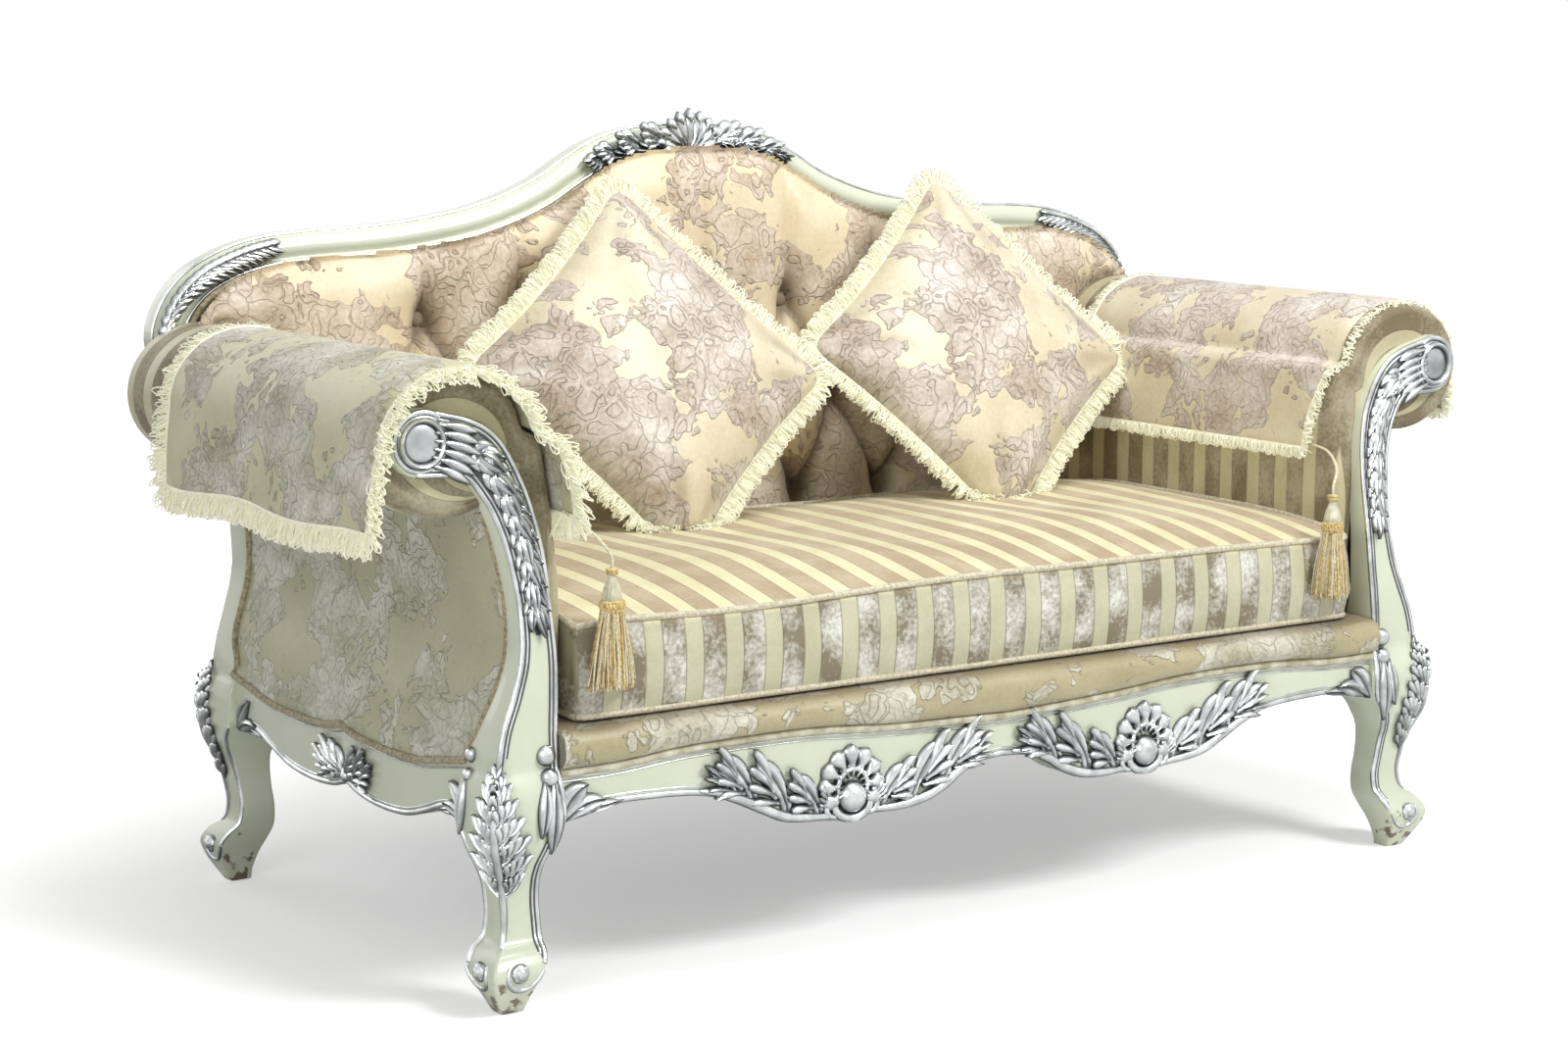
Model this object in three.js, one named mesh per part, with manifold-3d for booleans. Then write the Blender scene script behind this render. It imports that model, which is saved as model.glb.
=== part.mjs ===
import * as THREE from 'three';
import { mergeVertices } from 'three/addons/utils/BufferGeometryUtils.js';
import Module from 'manifold-3d';

// A cabriole sofa in millimetres: +Z up, -Y towards the sitter's knees, +X to the right
// as seen from the front. Each carved post is the meeting of a front outline and a side
// outline, as a joiner bandsaws a cabriole leg from a square blank.

const wasm = await Module();
wasm.setup();

// Clearances
const gap = 0.3;
const overrun = 60;

// Posts and legs
const postHalfSpan = 770;
const postFront = 415;
const postRear = 405;
const blockWidth = 86;
const blockDepth = 80;
const legHeight = 304;
const legReach = 20;
const neckWidth = 46;
const facingDepth = 28;
const facingLean = 47;
const scrollOut = 70;
const scrollRise = 402;
const scrollRadius = 42;
const stileDepth = 50;
const stileWidth = 50;
const stileSpread = 12;
const stileRise = 296;
const legSteps = 20;
const facingSteps = 18;
const scrollX = postHalfSpan + scrollOut;
const scrollZ = legHeight + scrollRise;
const stileTop = legHeight + stileRise;

// How far the leg's outer arris stands out, and how far in its inner corner lies
const legOuterShares = [
  [-0.35, 0], [0.2, 0.06], [0.62, 0.115], [0.85, 0.18], [0.3, 0.245], [-0.45, 0.285], [-0.72, 0.36],
  [-0.62, 0.45], [-0.35, 0.54], [0, 0.6], [0.5, 0.69], [0.68, 0.8], [0.55, 0.9], [0, 1],
];
const legInnerShares = [
  [-0.45, 0], [-0.47, 0.045], [-0.56, 0.13], [-0.67, 0.2], [-0.75, 0.26], [-0.765, 0.36],
  [-0.735, 0.44], [-0.72, 0.53], [-0.735, 0.6], [-0.8, 0.66], [-0.88, 0.715], [-1, 0.76],
];
// Centre line of the arm facing from block to scroll: across, up, block flare, scroll flare
const facingFrontShares = [
  [0, -0.06, 1, 0], [0, 0, 1, 0], [-0.035, 0.1, 0.8, 0], [-0.12, 0.21, 0.43, 0], [-0.19, 0.32, 0.15, 0],
  [-0.204, 0.468, 0, 0], [-0.177, 0.603, 0, 0.1], [-0.106, 0.727, 0, 0.2], [0.053, 0.85, 0, 0.36],
  [0.354, 0.96, 0, 0.58], [1, 1, 0, 1],
];
// Side view of the facing: up, lean back, how much of the block's depth is left
const facingSideShares = [
  [0, 0, 1], [0.035, 0, 0.93], [0.09, 0.02, 0.62], [0.195, 0.07, 0.35], [0.33, 0.2, 0.2],
  [0.455, 0.41, 0.14], [0.575, 0.63, 0.12], [0.69, 0.84, 0.07], [0.78, 0.97, 0.02], [0.83, 1, 0],
];
const stileSideShares = [[0, 1], [0.04, 0.93], [0.1, 0.4], [0.16, 0.1], [0.22, 0]];

// Seat rails
const frameTop = legHeight;
const railThickness = 38;
const railSetback = 4;
const railBow = 7;
const apronDepth = 129;
const sideRailDepth = 106;
const rearRailHeight = 76;
const rearRailDepth = 30;
const railSteps = 34;
const apronLow = frameTop - apronDepth;
const sideRailLow = frameTop - sideRailDepth;
const rearRailLow = frameTop - rearRailHeight;
const apronEdgeShares = [
  [0, 0.43], [0.06, 0.4], [0.11, 0.3], [0.153, 0.165], [0.205, 0.07], [0.256, 0.04], [0.31, 0.04],
  [0.365, 0.015], [0.42, 0.04], [0.505, 0.095], [0.563, 0.22], [0.62, 0.36], [0.7, 0.49],
  [0.8, 0.53], [0.9, 0.53], [0.958, 0.48], [1, 0.435],
];
const sideRailEdgeShares = [
  [0, 0.15], [0.12, 0.05], [0.3, 0.01], [0.5, 0.05], [0.65, 0.17], [0.82, 0.34], [0.92, 0.37], [1, 0.34],
];
// Where the gimp runs over the rail's face, below the rail's top
const trimDrop = 24;
const frontTrimShares = [[0, 0.85], [0.25, 0.6], [0.5, 0.15], [0.7, 0.18], [0.9, 0.55], [1, 0.55]];
const sideTrimShares = [[0, 0.5], [0.15, 0.85], [0.4, 0.98], [0.6, 0.9], [0.85, 0.35], [1, 0]];

// Seat
const armSetIn = 120;
const webbingThickness = 2;
const webbingWidth = 50;
const deckThickness = 41.1;
const armInner = postHalfSpan - armSetIn;
const seatBase = frameTop + 2 * (webbingThickness + gap) + gap;
const deckTop = seatBase + deckThickness;
const deckRear = 248;
const borderThickness = 5;
const webbingAlong = 7;
const webbingAcross = 3;
const blockLeg = 84;
const cornerBlockDrop = 8;
const cornerBlockHeight = 50;
const cornerBlockTop = frameTop - cornerBlockDrop;
const cornerBlockLow = cornerBlockTop - cornerBlockHeight;
const dustCoverThickness = 2;
const boltRadius = 4;
const boltHeadRadius = 8;
const boltHeadHeight = 5;
const boltLength = 58;

// Back
const backFront = 355;
const topRailRise = 682;
const topRailOut = 68;
const topRailHeight = deckTop + topRailRise;
const topRailHalf = postHalfSpan + topRailOut;
const topRailWidth = 42;
const topRailSteps = 42;
const backSeatFace = 252;
const backTopFace = 322;
const backRear = 346;
const backRim = 60;
const tuftPitchX = 156;
const tuftPitchZ = 145;
const tuftLowZ = deckTop + tuftPitchZ;
const tuftDepth = 44;
const tuftReach = 46;
const pleatDepth = 16;
const pleatReach = 20;
const buttonRadius = 11;
const buttonHeight = 7;
const backBoard = 36;
const uprightWidth = 60;
const uprightX = 230;
const backStrapWidth = 50;
const outsideCoverThickness = 4;
const topRailShares = [
  [0.864, 0.57], [0.872, 0.592], [0.888, 0.63], [0.925, 0.668], [0.972, 0.703], [1, 0.744], [0.988, 0.783],
  [0.949, 0.82], [0.889, 0.846], [0.823, 0.86], [0.74, 0.866], [0.613, 0.87], [0.519, 0.878],
  [0.437, 0.889], [0.362, 0.906], [0.29, 0.93], [0.233, 0.957], [0.179, 0.98], [0.119, 0.994],
  [0.06, 0.999], [0, 1],
];
// Moulding of the top rail: forward and inward from its middle
const mouldingShares = [
  [-1, -0.6], [-1, 0.75], [-0.75, 1], [0.76, 1], [1, 0.9], [1, 0.62], [0.8, 0.5], [0.68, 0.2],
  [0.56, -0.3], [0.32, -0.72], [-0.04, -0.95], [-0.5, -1], [-0.85, -0.9],
];

// Arms
const rollOut = 27;
const rollRise = 353;
const rollX = postHalfSpan + rollOut;
const rollZ = deckTop + rollRise;
const rollHalfWidth = 108;
const rollHalfHeight = 94;
const rollSteps = 16;
const panelInset = 5;
const panelThickness = 6;
const armRailRadius = 26;
const armInnerShares = [
  [0, 0], [-0.01, 0.3], [-0.015, 0.45], [0, 0.64], [0.06, 0.78], [0.19, 0.9], [0.37, 1],
];
const armOuterAngle = 241;
const armInnerAngle = 174;

// Seat cushion
const cushionPlay = 4;
const cushionEar = 10;
const cushionEarDepth = 32;
const cushionFront = 400;
const cushionRear = 240;
const cushionHeight = 116;
const cushionEdgeRise = 18;
const cushionCrown = 9;
const cushionBulge = 5;
const cushionDraw = 4;
const cushionRound = 26;
const cushionHalfWidth = armInner - cushionPlay;
const cushionCorner = deckTop + cushionHeight;
const cushionRowShares = [[-1, -1], [-0.8, -0.92], [-0.6, -0.75], [1, 1]];

// Loose cushions on the back
const pillowHalf = 191;
const pillowThickness = 146;
const pillowDraw = 24;
const pillowLean = 27;
const pillowSteps = 12;
const pillowSeam = 5;
const pillowRoll = 5;
const pillowForward = 112;
const pillowLeftShare = -0.311;
const pillowRightShare = 0.577;

// Arm covers and tassels
const clothThickness = 4;
const coverSteps = 8;
const foldDepth = 5;
const coverStandOff = 9;
const coverHangX = rollX + rollHalfWidth + coverStandOff;
const coverLeft = { front: 374, rear: 205, innerDrop: 97, outerDrop: 99 };
const coverRight = { front: 318, rear: 236, innerDrop: 113, outerDrop: 75 };
const tasselY = 424;
const tasselRadius = 31;
const tasselFlat = 0.52;
const tasselLength = 152;
const tasselLeft = { inset: 39, drop: 63 };
const tasselRight = { inset: 60, drop: 52 };
const cordRadius = 2.25;
const tasselShares = [
  [0, 0], [0.2, 0], [0.28, 0.03], [0.2, 0.075], [0.24, 0.11], [0.42, 0.2], [0.5, 0.27], [0.44, 0.3],
  [0.58, 0.33], [0.6, 0.37], [0.74, 0.5], [0.92, 0.78], [1, 0.96], [0.9, 1], [0, 1],
];

// Carved ornament
const leafRelief = 7;
const knobRadius = 11;
const scrollButtonRadius = 24;
const scrollButtonHeight = 8;
const footButtonRadius = 11;
const footButtonZ = 55;
const apronShellShare = 0.3627;
const apronShellRise = 41;
const apronShellRadius = 62;
const apronShellSpread = 190;
const apronSpray = 232;
const crestHalf = 184;
const crestShellRadius = 56;
const crestShellSpread = 170;
const crestShellRise = 4;
const shoulderFromShare = 0.828;
const shoulderToShare = 0.884;

const lacquer = { color: 0xdfe3c8, roughness: 0.22, metalness: 0 };
const silver = { color: 0xb9bcbb, roughness: 0.3, metalness: 0.9 };
const damask = { color: 0xc8b9a2, roughness: 0.7, metalness: 0 };
const stripe = { color: 0xcdbf9f, roughness: 0.65, metalness: 0 };
const tasselSilk = { color: 0xdcc687, roughness: 0.6, metalness: 0 };
const beech = { color: 0xc39c68, roughness: 0.6, metalness: 0 };
const webbingJute = { color: 0x9a8357, roughness: 0.9, metalness: 0 };
const cambric = { color: 0x26241f, roughness: 0.9, metalness: 0 };
const steel = { color: 0xa9a9a4, roughness: 0.4, metalness: 0.9 };

const sofa = new THREE.Group();

function addPiece(name, shape, finish) {
  const geometry = shape.isBufferGeometry ? shape : geometryOf(shape);
  const mesh = new THREE.Mesh(geometry, new THREE.MeshStandardMaterial(finish));
  mesh.name = name;
  sofa.add(mesh);
  return mesh;
}

function addPair(name, shape, finish) {
  const geometry = shape.isBufferGeometry ? shape : geometryOf(shape);
  addPiece(`${name}_right`, geometry, finish);
  addPiece(`${name}_left`, geometry, finish).scale.x = -1;
}

// Solids and outlines

function solidOf(geometry) {
  const bare = new THREE.BufferGeometry();
  bare.setAttribute('position', geometry.getAttribute('position'));
  bare.setIndex(geometry.index);
  const merged = mergeVertices(bare);
  const mesh = new wasm.Mesh({
    numProp: 3,
    vertProperties: new Float32Array(merged.getAttribute('position').array),
    triVerts: new Uint32Array(merged.index.array),
  });
  return new wasm.Manifold(mesh);
}

function geometryOf(solid) {
  const mesh = solid.getMesh();
  const geometry = new THREE.BufferGeometry();
  geometry.setAttribute('position', new THREE.BufferAttribute(new Float32Array(mesh.vertProperties), 3));
  geometry.setIndex(new THREE.BufferAttribute(new Uint32Array(mesh.triVerts), 1));
  geometry.computeVertexNormals();
  return geometry;
}

function joined(solids) {
  return solids.reduce((whole, solid) => whole.add(solid));
}

function shapeOf(points) {
  return new THREE.Shape(points.map(([a, b]) => new THREE.Vector2(a, b)));
}

function extruded(points, depth) {
  return new THREE.ExtrudeGeometry(shapeOf(points), { depth, bevelEnabled: false, steps: 1 });
}

// An outline drawn in X and Z, with thickness along Y
function frontOutline(points, yFrom, yTo) {
  const across = new THREE.Vector3(1, 0, 0);
  const up = new THREE.Vector3(0, 0, 1);
  const forward = new THREE.Vector3(0, -1, 0);
  const geometry = extruded(points, yTo - yFrom);
  geometry.applyMatrix4(new THREE.Matrix4().makeBasis(across, up, forward));
  return solidOf(geometry.translate(0, yTo, 0));
}

// An outline drawn in Y and Z, with thickness along X
function sideOutline(points, xFrom, xTo) {
  const back = new THREE.Vector3(0, 1, 0);
  const up = new THREE.Vector3(0, 0, 1);
  const right = new THREE.Vector3(1, 0, 0);
  const geometry = extruded(points, xTo - xFrom);
  geometry.applyMatrix4(new THREE.Matrix4().makeBasis(back, up, right));
  return solidOf(geometry.translate(xFrom, 0, 0));
}

// An outline drawn in X and Y, with thickness along Z
function planOutline(points, zFrom, zTo) {
  return solidOf(extruded(points, zTo - zFrom).translate(0, 0, zFrom));
}

function box(x0, x1, y0, y1, z0, z1) {
  const geometry = new THREE.BoxGeometry(x1 - x0, y1 - y0, z1 - z0);
  return solidOf(geometry.translate((x0 + x1) / 2, (y0 + y1) / 2, (z0 + z1) / 2));
}

function discAlongY(x, z, radius, yFrom, yTo, sides) {
  const geometry = new THREE.CylinderGeometry(radius, radius, yTo - yFrom, sides);
  return solidOf(geometry.translate(x, (yFrom + yTo) / 2, z));
}

function smooth(points, steps) {
  const knots = points.map(([a, b, c = 0]) => new THREE.Vector3(a, b, c));
  return new THREE.CatmullRomCurve3(knots, false, 'centripetal').getPoints(steps).map((p) => [p.x, p.y, p.z]);
}

// Straight-line reading of a table of [key, value] pairs
function reading(table, key) {
  const last = table.length - 1;
  if (key <= table[0][0]) return table[0][1];
  if (key >= table[last][0]) return table[last][1];
  const after = table.findIndex(([k]) => k >= key);
  const [k0, v0] = table[after - 1];
  const [k1, v1] = table[after];
  return v0 + ((v1 - v0) * (key - k0)) / (k1 - k0);
}

// A band of changing width along a centre line of [x, z, width]
function bandOutline(centre) {
  const left = [];
  const right = [];
  centre.forEach(([x, z, width], i) => {
    const before = centre[Math.max(i - 1, 0)];
    const after = centre[Math.min(i + 1, centre.length - 1)];
    const along = new THREE.Vector2(after[0] - before[0], after[1] - before[1]).normalize();
    left.push([x - (along.y * width) / 2, z + (along.x * width) / 2]);
    right.push([x + (along.y * width) / 2, z - (along.x * width) / 2]);
  });
  return [...right, ...left.reverse()];
}

function fanFaces(count) {
  return Array.from({ length: count - 2 }, (_, k) => [0, k + 1, k + 2]);
}

// A skin over rings of points, closed at both ends
function loft(rings, ends = fanFaces(rings[0].length)) {
  const count = rings[0].length;
  const last = (rings.length - 1) * count;
  const faces = [];
  for (let r = 0; r + 1 < rings.length; r += 1) {
    for (let k = 0; k < count; k += 1) {
      const a = r * count + k;
      const b = r * count + ((k + 1) % count);
      faces.push([a, b, b + count], [a, b + count, a + count]);
    }
  }
  ends.forEach(([a, b, c]) => faces.push([c, b, a], [last + a, last + b, last + c]));
  return closedMesh(rings.flat(), faces);
}

function closedMesh(points, faces) {
  const volume = faces.reduce((sum, [a, b, c]) => {
    const normal = new THREE.Vector3().crossVectors(points[b], points[c]);
    return sum + points[a].dot(normal);
  }, 0);
  const outward = volume > 0 ? faces : faces.map(([a, b, c]) => [c, b, a]);
  const geometry = new THREE.BufferGeometry();
  const flat = points.flatMap((p) => [p.x, p.y, p.z]);
  geometry.setAttribute('position', new THREE.Float32BufferAttribute(flat, 3));
  geometry.setIndex(outward.flat());
  geometry.computeVertexNormals();
  return geometry;
}

function moved(geometry, place) {
  const position = geometry.getAttribute('position');
  const point = new THREE.Vector3();
  for (let i = 0; i < position.count; i += 1) {
    point.fromBufferAttribute(position, i);
    place(point);
    position.setXYZ(i, point.x, point.y, point.z);
  }
  return geometry;
}

// Legs and posts

const legOuter = smooth(legOuterShares.map(([out, up]) => [out * legReach, up * legHeight]), legSteps);
const blockLow = legInnerShares[legInnerShares.length - 1][1] * legHeight;

function legOutline(thickness) {
  const inner = legInnerShares.map(([s, up]) => [s * thickness, up * legHeight]);
  return [...legOuter, [-thickness, legHeight], ...inner.reverse()].map(([a, b]) => [a, b]);
}

const facingRise = scrollZ + scrollRadius - legHeight;
const facingFlatShare = 1.1;
const facingSide = smooth(facingSideShares, facingSteps).map(([up, lean, flare]) => {
  const front = postFront - lean * facingLean;
  const depth = facingDepth + (blockDepth - facingDepth) * flare;
  return { z: legHeight + up * facingRise, front, back: front - depth };
});
const facingTop = legHeight + facingFlatShare * facingRise;
facingSide.push({ z: facingTop, front: postFront - facingLean, back: postFront - facingLean - facingDepth });
const facingFace = facingSide.map(({ z, front }) => [z, front]);
const facingBack = facingSide.map(({ z, back }) => [z, back]);

const blockCentre = postHalfSpan - blockWidth / 2;
const facingCentre = smooth(
  facingFrontShares.map(([across, up, low, high]) => [
    blockCentre + across * (scrollX - blockCentre),
    legHeight + up * (scrollZ - legHeight),
    neckWidth + low * (blockWidth - neckWidth) + high * (2 * scrollRadius - neckWidth),
  ]),
  facingSteps,
);

function frontPost() {
  const deep = [-(postFront + overrun), 0];
  const leg = frontOutline(legOutline(blockWidth).map(([out, z]) => [postHalfSpan + out, z]), ...deep);
  const facing = frontOutline(bandOutline(facingCentre), ...deep);
  const scroll = discAlongY(scrollX, scrollZ, scrollRadius, ...deep, 24);
  const legSide = legOutline(blockDepth).map(([out, z]) => [-(postFront + out), z]);
  const upperSide = [
    ...facingSide.map(({ z, front }) => [-front, z]),
    ...facingSide.map(({ z, back }) => [-back, z]).reverse(),
  ];
  const wide = [armInner - overrun, scrollX + scrollRadius + overrun];
  const side = sideOutline(legSide, ...wide).add(sideOutline(upperSide, ...wide));
  const post = joined([leg, facing, scroll]).intersect(side);
  return post.add(footButtons(postFront, -1)).subtract(solidOf(cornerBolt('front', gap)));
}

const stileCentre = facingCentre.filter(([, z]) => z < stileTop + overrun).map(([x, z]) => {
  const rise = Math.min(Math.max((z - legHeight) / (stileTop - legHeight), 0), 1);
  const width = blockWidth + (stileWidth - blockWidth) * Math.min(rise * 2, 1);
  return [x + stileSpread * rise, z, width];
});
const stileFront = stileSideShares.map(([up, flare]) => {
  const depth = stileDepth + (blockDepth - stileDepth) * flare;
  return [legHeight + up * facingRise, postRear - depth];
});

function rearPost() {
  const deep = [0, postRear + overrun];
  const leg = frontOutline(legOutline(blockWidth).map(([out, z]) => [postHalfSpan + out, z]), ...deep);
  const stile = frontOutline(bandOutline(stileCentre), ...deep);
  const legSide = legOutline(blockDepth).map(([out, z]) => [postRear + out, z]);
  const stileSide = [
    [postRear, legHeight], [postRear, stileTop], [postRear - stileDepth, stileTop],
    ...stileFront.map(([z, y]) => [y, z]).reverse(),
  ];
  const wide = [armInner - overrun, scrollX + scrollRadius + overrun];
  const side = sideOutline(legSide, ...wide).add(sideOutline(stileSide, ...wide));
  const post = leg.add(stile).intersect(side);
  return post.add(footButtons(postRear, 1)).subtract(solidOf(cornerBolt('rear', gap)));
}

// Seat rails

const railEnd = postHalfSpan - blockWidth - gap;
const frontRailFace = (x) => {
  const bow = railBow * Math.cos((Math.min(Math.abs(x) / railEnd, 1) * Math.PI) / 2);
  return -(postFront - railSetback + bow);
};
const frontRailBack = -(postFront - railSetback - railThickness);
const apronEdge = (x) => apronLow + apronDepth * reading(apronEdgeShares, Math.abs(x) / railEnd);
const frontTrim = (x) => frameTop - trimDrop * reading(frontTrimShares, Math.abs(x) / railEnd);
const sideRailFace = postHalfSpan - railSetback;
const sideRailInner = sideRailFace - railThickness + railSetback;
const sideFrontEnd = -(postFront - blockDepth - gap);
const sideRearEnd = postRear - blockDepth - gap;
const sideMiddle = (sideFrontEnd + sideRearEnd) / 2;
const sideHalf = (sideRearEnd - sideFrontEnd) / 2;
const sideShare = (y) => Math.min(Math.abs(y - sideMiddle) / sideHalf, 1);
const sideRailEdge = (y) => sideRailLow + sideRailDepth * reading(sideRailEdgeShares, sideShare(y));
const sideTrim = (y) => frameTop - trimDrop * reading(sideTrimShares, sideShare(y));
const frontStations = Array.from({ length: railSteps + 1 }, (_, i) => railEnd * ((2 * i) / railSteps - 1));

function frontRail() {
  return loft(frontStations.map((x) => [
    new THREE.Vector3(x, frontRailFace(x), apronEdge(x)),
    new THREE.Vector3(x, frontRailBack, apronEdge(x)),
    new THREE.Vector3(x, frontRailBack, frameTop),
    new THREE.Vector3(x, frontRailFace(x), frameTop),
  ]));
}

function sideRail() {
  const count = railSteps / 2;
  const stations = Array.from({ length: count + 1 }, (_, i) => sideMiddle + sideHalf * ((2 * i) / count - 1));
  return loft(stations.map((y) => [
    new THREE.Vector3(sideRailFace, y, sideRailEdge(y)),
    new THREE.Vector3(sideRailFace, y, frameTop),
    new THREE.Vector3(sideRailInner, y, frameTop),
    new THREE.Vector3(sideRailInner, y, sideRailEdge(y)),
  ]));
}

const rearRailBack = postRear - railSetback;
const rearRailFront = rearRailBack - rearRailDepth;

function rearRail() {
  return box(-railEnd, railEnd, rearRailFront, rearRailBack, rearRailLow, frameTop);
}

// The room between the rails, notched round the four posts
function wellOutline() {
  const right = sideRailInner - gap;
  const front = frontRailBack + gap;
  const rear = rearRailFront - gap;
  const half = [
    [railEnd, front], [railEnd, sideFrontEnd], [right, sideFrontEnd],
    [right, sideRearEnd], [railEnd, sideRearEnd], [railEnd, rear],
  ];
  return [...half, ...half.map(([x, y]) => [-x, y]).reverse()];
}

// A block glued into one corner, notched round the post, with a bolt through it into the post
function cornerPlan(end) {
  const right = sideRailInner - gap;
  const front = end === 'front';
  const [face, notch] = front ? [frontRailBack + gap, sideFrontEnd] : [rearRailFront - gap, sideRearEnd];
  const along = end === 'front' ? blockLeg : -blockLeg;
  const outer = [[railEnd, face], [railEnd, notch], [right, notch]];
  return [...outer, [right, notch + along], [railEnd - blockLeg, face]];
}

function cornerBolt(end, grow = 0) {
  const plan = cornerPlan(end);
  const [far, near] = [plan[3], plan[4]];
  const inward = end === 'front' ? 1 : -1;
  const out = new THREE.Vector3(-Math.abs(far[1] - near[1]), inward * (far[0] - near[0]), 0).normalize();
  const turn = new THREE.Quaternion().setFromUnitVectors(new THREE.Vector3(0, 1, 0), out);
  const height = (cornerBlockLow + cornerBlockTop) / 2;
  const radius = boltRadius + grow;
  const profile = [[0, -boltLength - grow], [radius, -boltLength - grow], [radius, gap], [boltHeadRadius, gap],
    [boltHeadRadius, boltHeadHeight], [0, boltHeadHeight + gap]];
  const bolt = lathe(profile, 8).applyQuaternion(turn);
  return bolt.translate((far[0] + near[0]) / 2, (far[1] + near[1]) / 2, height);
}

function lathe(profile, sides) {
  return new THREE.LatheGeometry(profile.map(([r, h]) => new THREE.Vector2(r, h)), sides);
}

function cornerBlock(end) {
  const plan = cornerPlan(end);
  return planOutline(plan, cornerBlockLow, cornerBlockTop).subtract(solidOf(cornerBolt(end, gap)));
}

function seatWebbing() {
  const front = -(postFront - railSetback) + 3 * borderThickness;
  const rear = rearRailBack - borderThickness;
  const side = sideRailFace - 2 * borderThickness;
  const straps = [];
  for (let i = 0; i < webbingAlong; i += 1) {
    const x = armInner * ((2 * (i + 0.5)) / webbingAlong - 1);
    const low = frameTop + gap;
    straps.push(box(x - webbingWidth / 2, x + webbingWidth / 2, front, rear, low, low + webbingThickness));
  }
  for (let i = 0; i < webbingAcross; i += 1) {
    const y = sideFrontEnd + (deckRear - sideFrontEnd) * ((i + 0.5) / webbingAcross);
    const low = frameTop + webbingThickness;
    straps.push(box(-side, side, y - webbingWidth / 2, y + webbingWidth / 2, low, low + webbingThickness));
  }
  return joined(straps);
}

// The deck carries the seat cushion; its damask border turns down over the front rail
function seatDeck() {
  const topBack = -(postFront - railSetback) + 2 * borderThickness;
  const border = loft(
    frontStations.map((x) => {
      const back = frontRailFace(x) - gap;
      const face = back - borderThickness;
      return [[face, frontTrim(x)], [back, frontTrim(x)], [back, frameTop + gap], [topBack, frameTop + gap],
        [topBack, deckTop], [face, deckTop]].map(([y, z]) => new THREE.Vector3(x, y, z));
    }),
    [[0, 1, 2], [0, 2, 5], [2, 3, 4], [2, 4, 5]],
  );
  const half = armInner - gap;
  const slab = box(-half, half, topBack - borderThickness, deckRear, seatBase, deckTop);
  return solidOf(border).add(slab);
}

function dustCover() {
  return planOutline(wellOutline(), cornerBlockLow - gap - dustCoverThickness, cornerBlockLow - gap);
}

// Top rail and back

const topRailKnots = topRailShares.map(([across, up]) => [across * topRailHalf, up * topRailHeight]);
const topRailPath = [...topRailKnots.map(([x, z]) => [-x, z]), ...topRailKnots.slice(0, -1).reverse()];
const topRailCurve = new THREE.CatmullRomCurve3(
  topRailPath.map(([x, z]) => new THREE.Vector3(x, backFront + stileDepth / 2, z)),
  false,
  'centripetal',
);

function topRail() {
  const section = mouldingShares.map(([out, inward]) => [(out * stileDepth) / 2, (inward * topRailWidth) / 2]);
  const sweep = new THREE.ExtrudeGeometry(shapeOf(section), { steps: topRailSteps, extrudePath: topRailCurve });
  const reach = topRailHalf + topRailWidth;
  const below = box(-reach, reach, 0, postRear + overrun, 0, stileTop + gap);
  return solidOf(sweep).subtract(below);
}

// The frame of the back with clearance all round, to trim what sits inside it
function backFrameRoom() {
  const extra = 4 * gap;
  const rail = topRailCurve.getSpacedPoints(topRailSteps).map((p) => [p.x, p.z, topRailWidth + extra]);
  const stile = stileCentre.map(([x, z, width]) => [x, z, width + extra]);
  const deep = [backFront - 2 * backRim, postRear + overrun];
  const right = frontOutline(bandOutline(stile), ...deep);
  const left = frontOutline(bandOutline(stile.map(([x, z, width]) => [-x, z, width])), ...deep);
  return joined([frontOutline(bandOutline(rail), ...deep), right, left]);
}

const frameRoom = backFrameRoom();
const topRailLine = topRailCurve.getSpacedPoints(topRailSteps).map((p) => [p.x, p.z]);
const insideOfRail = [
  ...topRailLine,
  ...stileCentre.filter(([, z]) => z < stileTop).reverse().map(([x, z]) => [x, z]),
];
const backOutline = [
  ...insideOfRail, [railEnd, seatBase], [-railEnd, seatBase],
  ...stileCentre.filter(([, z]) => z < stileTop).map(([x, z]) => [-x, z]),
];

function insideBack(yFrom, yTo) {
  const panel = frontOutline(backOutline, yFrom, yTo);
  const low = box(-overrun - topRailHalf, overrun + topRailHalf, yFrom - overrun, yTo + overrun, 0, seatBase);
  return panel.subtract(frameRoom).subtract(low);
}

// Distance from a point to the edge of the back's opening
function edgeDistance(outline, x, z) {
  let nearest = Infinity;
  outline.forEach(([x0, z0], i) => {
    const [x1, z1] = outline[(i + 1) % outline.length];
    const run = new THREE.Vector2(x1 - x0, z1 - z0);
    const share = Math.min(Math.max(((x - x0) * run.x + (z - z0) * run.y) / (run.lengthSq() || gap), 0), 1);
    nearest = Math.min(nearest, Math.hypot(x - x0 - share * run.x, z - z0 - share * run.y));
  });
  return nearest;
}

// Buttons stand in three staggered rows
const tuftRows = [
  { z: tuftLowZ, shift: 0, count: 7 },
  { z: tuftLowZ + tuftPitchZ, shift: 0.5, count: 6 },
  { z: tuftLowZ + 2 * tuftPitchZ, shift: 0, count: 7 },
];
const tufts = tuftRows.flatMap(({ z, count }) => {
  return Array.from({ length: count }, (_, i) => [(i - (count - 1) / 2) * tuftPitchX, z]);
});

function pleatFall(x, z, x0, z0, x1, z1) {
  const run = new THREE.Vector2(x1 - x0, z1 - z0);
  const share = Math.min(Math.max(((x - x0) * run.x + (z - z0) * run.y) / (run.lengthSq() || gap), 0), 1);
  const off = Math.hypot(x - x0 - share * run.x, z - z0 - share * run.y);
  return pleatDepth * Math.exp(-((off / pleatReach) ** 2));
}

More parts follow.
